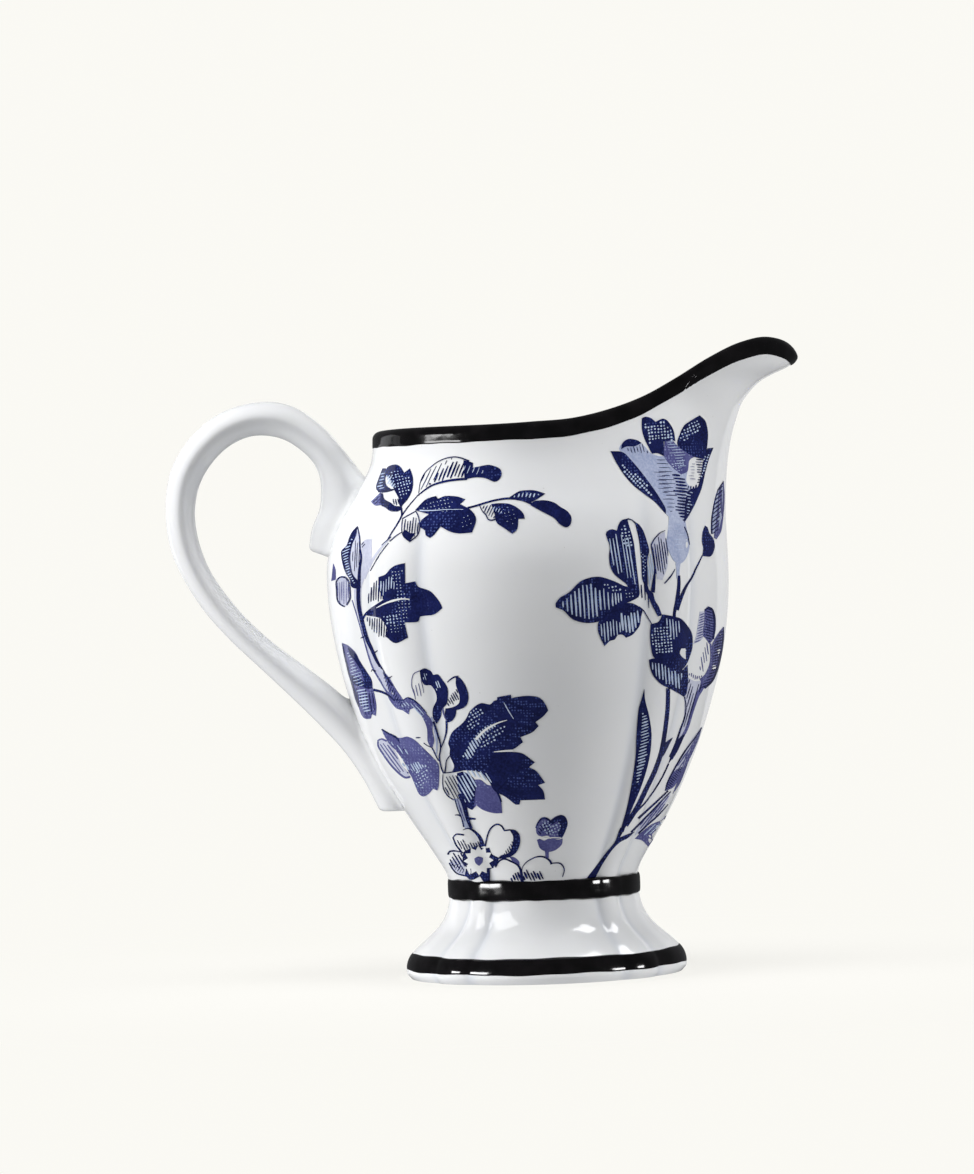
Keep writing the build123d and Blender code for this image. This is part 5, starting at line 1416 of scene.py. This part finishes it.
def add_print(name, tone, vertices, faces):
    """One piece of the print. Bare clay left in the print keeps the glaze's slot."""
    piece = new_object(name, vertices, faces, [PRINT_MATERIALS[tone]])
    piece.data.set_sharp_from_angle(angle=math.radians(40))
    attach(piece, "root")


for motif, marks in MOTIFS.items():
    draw_motif(motif, marks)

# ---------------------------------------------------------------- stage, light and camera

CREAM = (0.960, 0.950, 0.905, 1)
FLOOR_REACH = 500
BACKDROP_REACH = 1800
BACKDROP_BEND = 700
BACKDROP_HEIGHT = 4000
RING = 96


def make_stage():
    """A round pale floor that fades into a pale backdrop, which only the camera sees."""
    n = Nodes("floor")
    tree = n.tree
    glow = n.add("ShaderNodeEmission", {"Color": CREAM, "Strength": 1.0})
    n.set(Base_Color=(0.93, 0.92, 0.89, 1), Roughness=0.9)
    radius = n.add("ShaderNodeVectorMath", {0: n.place()}, operation="LENGTH").outputs["Value"]
    share = n.ramp(radius, 0.04, 0.15, 0.82, 1.0)
    blend = n.add("ShaderNodeMixShader", {"Fac": share, 1: n.shader.outputs[0], 2: glow.outputs[0]})
    tree.links.new(blend.outputs[0], tree.nodes["Material Output"].inputs["Surface"])

    turn = np.linspace(0, 2 * math.pi, RING, endpoint=False)
    ring = np.stack([np.cos(turn), np.sin(turn), 0 * turn], -1)
    rows = np.array([ring * r for r in np.linspace(2, FLOOR_REACH, 40)])
    faces = ring_faces(len(rows), RING) + [tuple(range(RING - 1, -1, -1))]
    floor = new_object("floor", rows.reshape(-1, 3), faces, [n.material])
    rows = [ring * r for r in np.linspace(FLOOR_REACH, BACKDROP_REACH, 12)]
    for bend in np.linspace(0, math.pi / 2, 12)[1:]:
        rise = (0, 0, BACKDROP_BEND * (1 - math.cos(bend)))
        rows.append(ring * (BACKDROP_REACH + BACKDROP_BEND * math.sin(bend)) + rise)
    rows.append(ring * (BACKDROP_REACH + BACKDROP_BEND) + (0, 0, BACKDROP_HEIGHT))
    points = np.array(rows).reshape(-1, 3)
    backdrop = new_object("backdrop", points, ring_faces(len(rows), RING), [n.material])
    floor.visible_glossy = False
    floor.visible_diffuse = False
    floor.visible_shadow = False
    for rays in ("visible_diffuse", "visible_glossy", "visible_transmission", "visible_shadow"):
        setattr(backdrop, rays, False)


def make_world():
    """Weak cool light from all round."""
    world = bpy.data.worlds.new("studio")
    bpy.context.scene.world = world
    world.use_nodes = True
    background = world.node_tree.nodes["Background"]
    background.inputs["Color"].default_value = (0.95, 0.97, 1.0, 1)
    background.inputs["Strength"].default_value = 0.09


def named(*names):
    """A collection of pieces, for a light to be linked to."""
    collection = bpy.data.collections.new("_".join(names))
    for name in names:
        collection.objects.link(bpy.data.objects[name])
    return collection


def area_light(name, place, target, size, power, lit=True, mirrored=True, only=None, past=None):
    """A softbox facing the target. It may light or be mirrored alone, on some pieces, or past others."""
    light = bpy.data.lights.new(name, "AREA")
    light.shape = "RECTANGLE"
    light.size, light.size_y = size
    light.energy = power
    obj = bpy.data.objects.new(name, light)
    bpy.context.scene.collection.objects.link(obj)
    obj.location = place
    direction = Vector(target) - Vector(place)
    obj.rotation_euler = direction.to_track_quat("-Z", "Y").to_euler()
    obj.visible_camera = False
    obj.visible_diffuse = lit
    obj.visible_glossy = mirrored
    obj.light_linking.receiver_collection = only
    obj.light_linking.blocker_collection = past


def make_lights():
    """Broad light the glaze does not mirror, then strips and windows that give it its highlights."""
    middle = (0, 0, 0.07)
    low = (0, 0, 0.02)
    clay = named("bowl", "foot_clay", "loop_handle")
    foot = named("foot_clay")
    lower_bands = named("waist_ring", "foot_black")
    rim = named("rim_black")
    area_light("left_softbox", (-0.95, -0.14, 0.22), middle, (0.6, 0.9), 10.4, mirrored=False)
    area_light("right_softbox", (0.88, -0.10, 0.20), middle, (0.4, 0.7), 4.6, mirrored=False)
    area_light("overhead", (-0.02, -0.22, 1.0), middle, (0.6, 0.5), 8.2, mirrored=False)
    area_light("back_fill", (0.0, 0.9, 0.4), middle, (1.4, 0.8), 2.4, mirrored=False)
    area_light("floor_bounce", (0, 0, -0.02), (0, 0, 1), (1.4, 1.4), 3.2, mirrored=False)
    area_light("left_strip", (-0.71, 0.60, 0.16), middle, (0.14, 0.7), 0.4, only=clay)
    area_light("back_glow", (0, 0.95, 0.20), middle, (2.0, 0.7), 2.6, lit=False, only=clay)
    area_light("left_window", (-0.88, -0.34, 0.10), middle, (0.36, 0.22), 6.5, only=lower_bands)
    area_light("right_window", (0.88, -0.30, 0.10), middle, (0.24, 0.18), 3.4, only=lower_bands)
    area_light("rim_window", (-0.88, -0.34, 0.10), middle, (0.50, 0.26), 4.5, only=rim)
    area_light("foot_fill", (0.05, -0.8, 0.10), low, (0.5, 0.3), 0.8, mirrored=False, only=foot)
    area_light("high_window", (0.38, -0.03, 0.93), low, (0.34, 0.60), 5.6, lit=False, only=foot, past=foot)
    area_light("side_window", (-0.70, -0.24, 0.62), low, (0.50, 0.50), 3.4, lit=False, only=foot, past=foot)


LENS = 146.8
CAMERA_LEAN = -1.95


def make_camera():
    """The view: level, from straight in front, with the jug leaning back a little in the frame."""
    camera = bpy.data.cameras.new("camera")
    camera.lens = LENS
    camera.clip_end = 50.0
    obj = bpy.data.objects.new("camera", camera)
    bpy.context.scene.collection.objects.link(obj)
    lean = math.radians(CAMERA_LEAN)
    look = Matrix.Rotation(math.radians(90), 4, "X") @ Matrix.Rotation(lean, 4, "Z")
    obj.matrix_world = Matrix.Translation(Vector(EYE) * MM) @ look
    bpy.context.scene.camera = obj


make_stage()
make_world()
make_lights()
make_camera()
bpy.context.scene.view_settings.view_transform = "Standard"
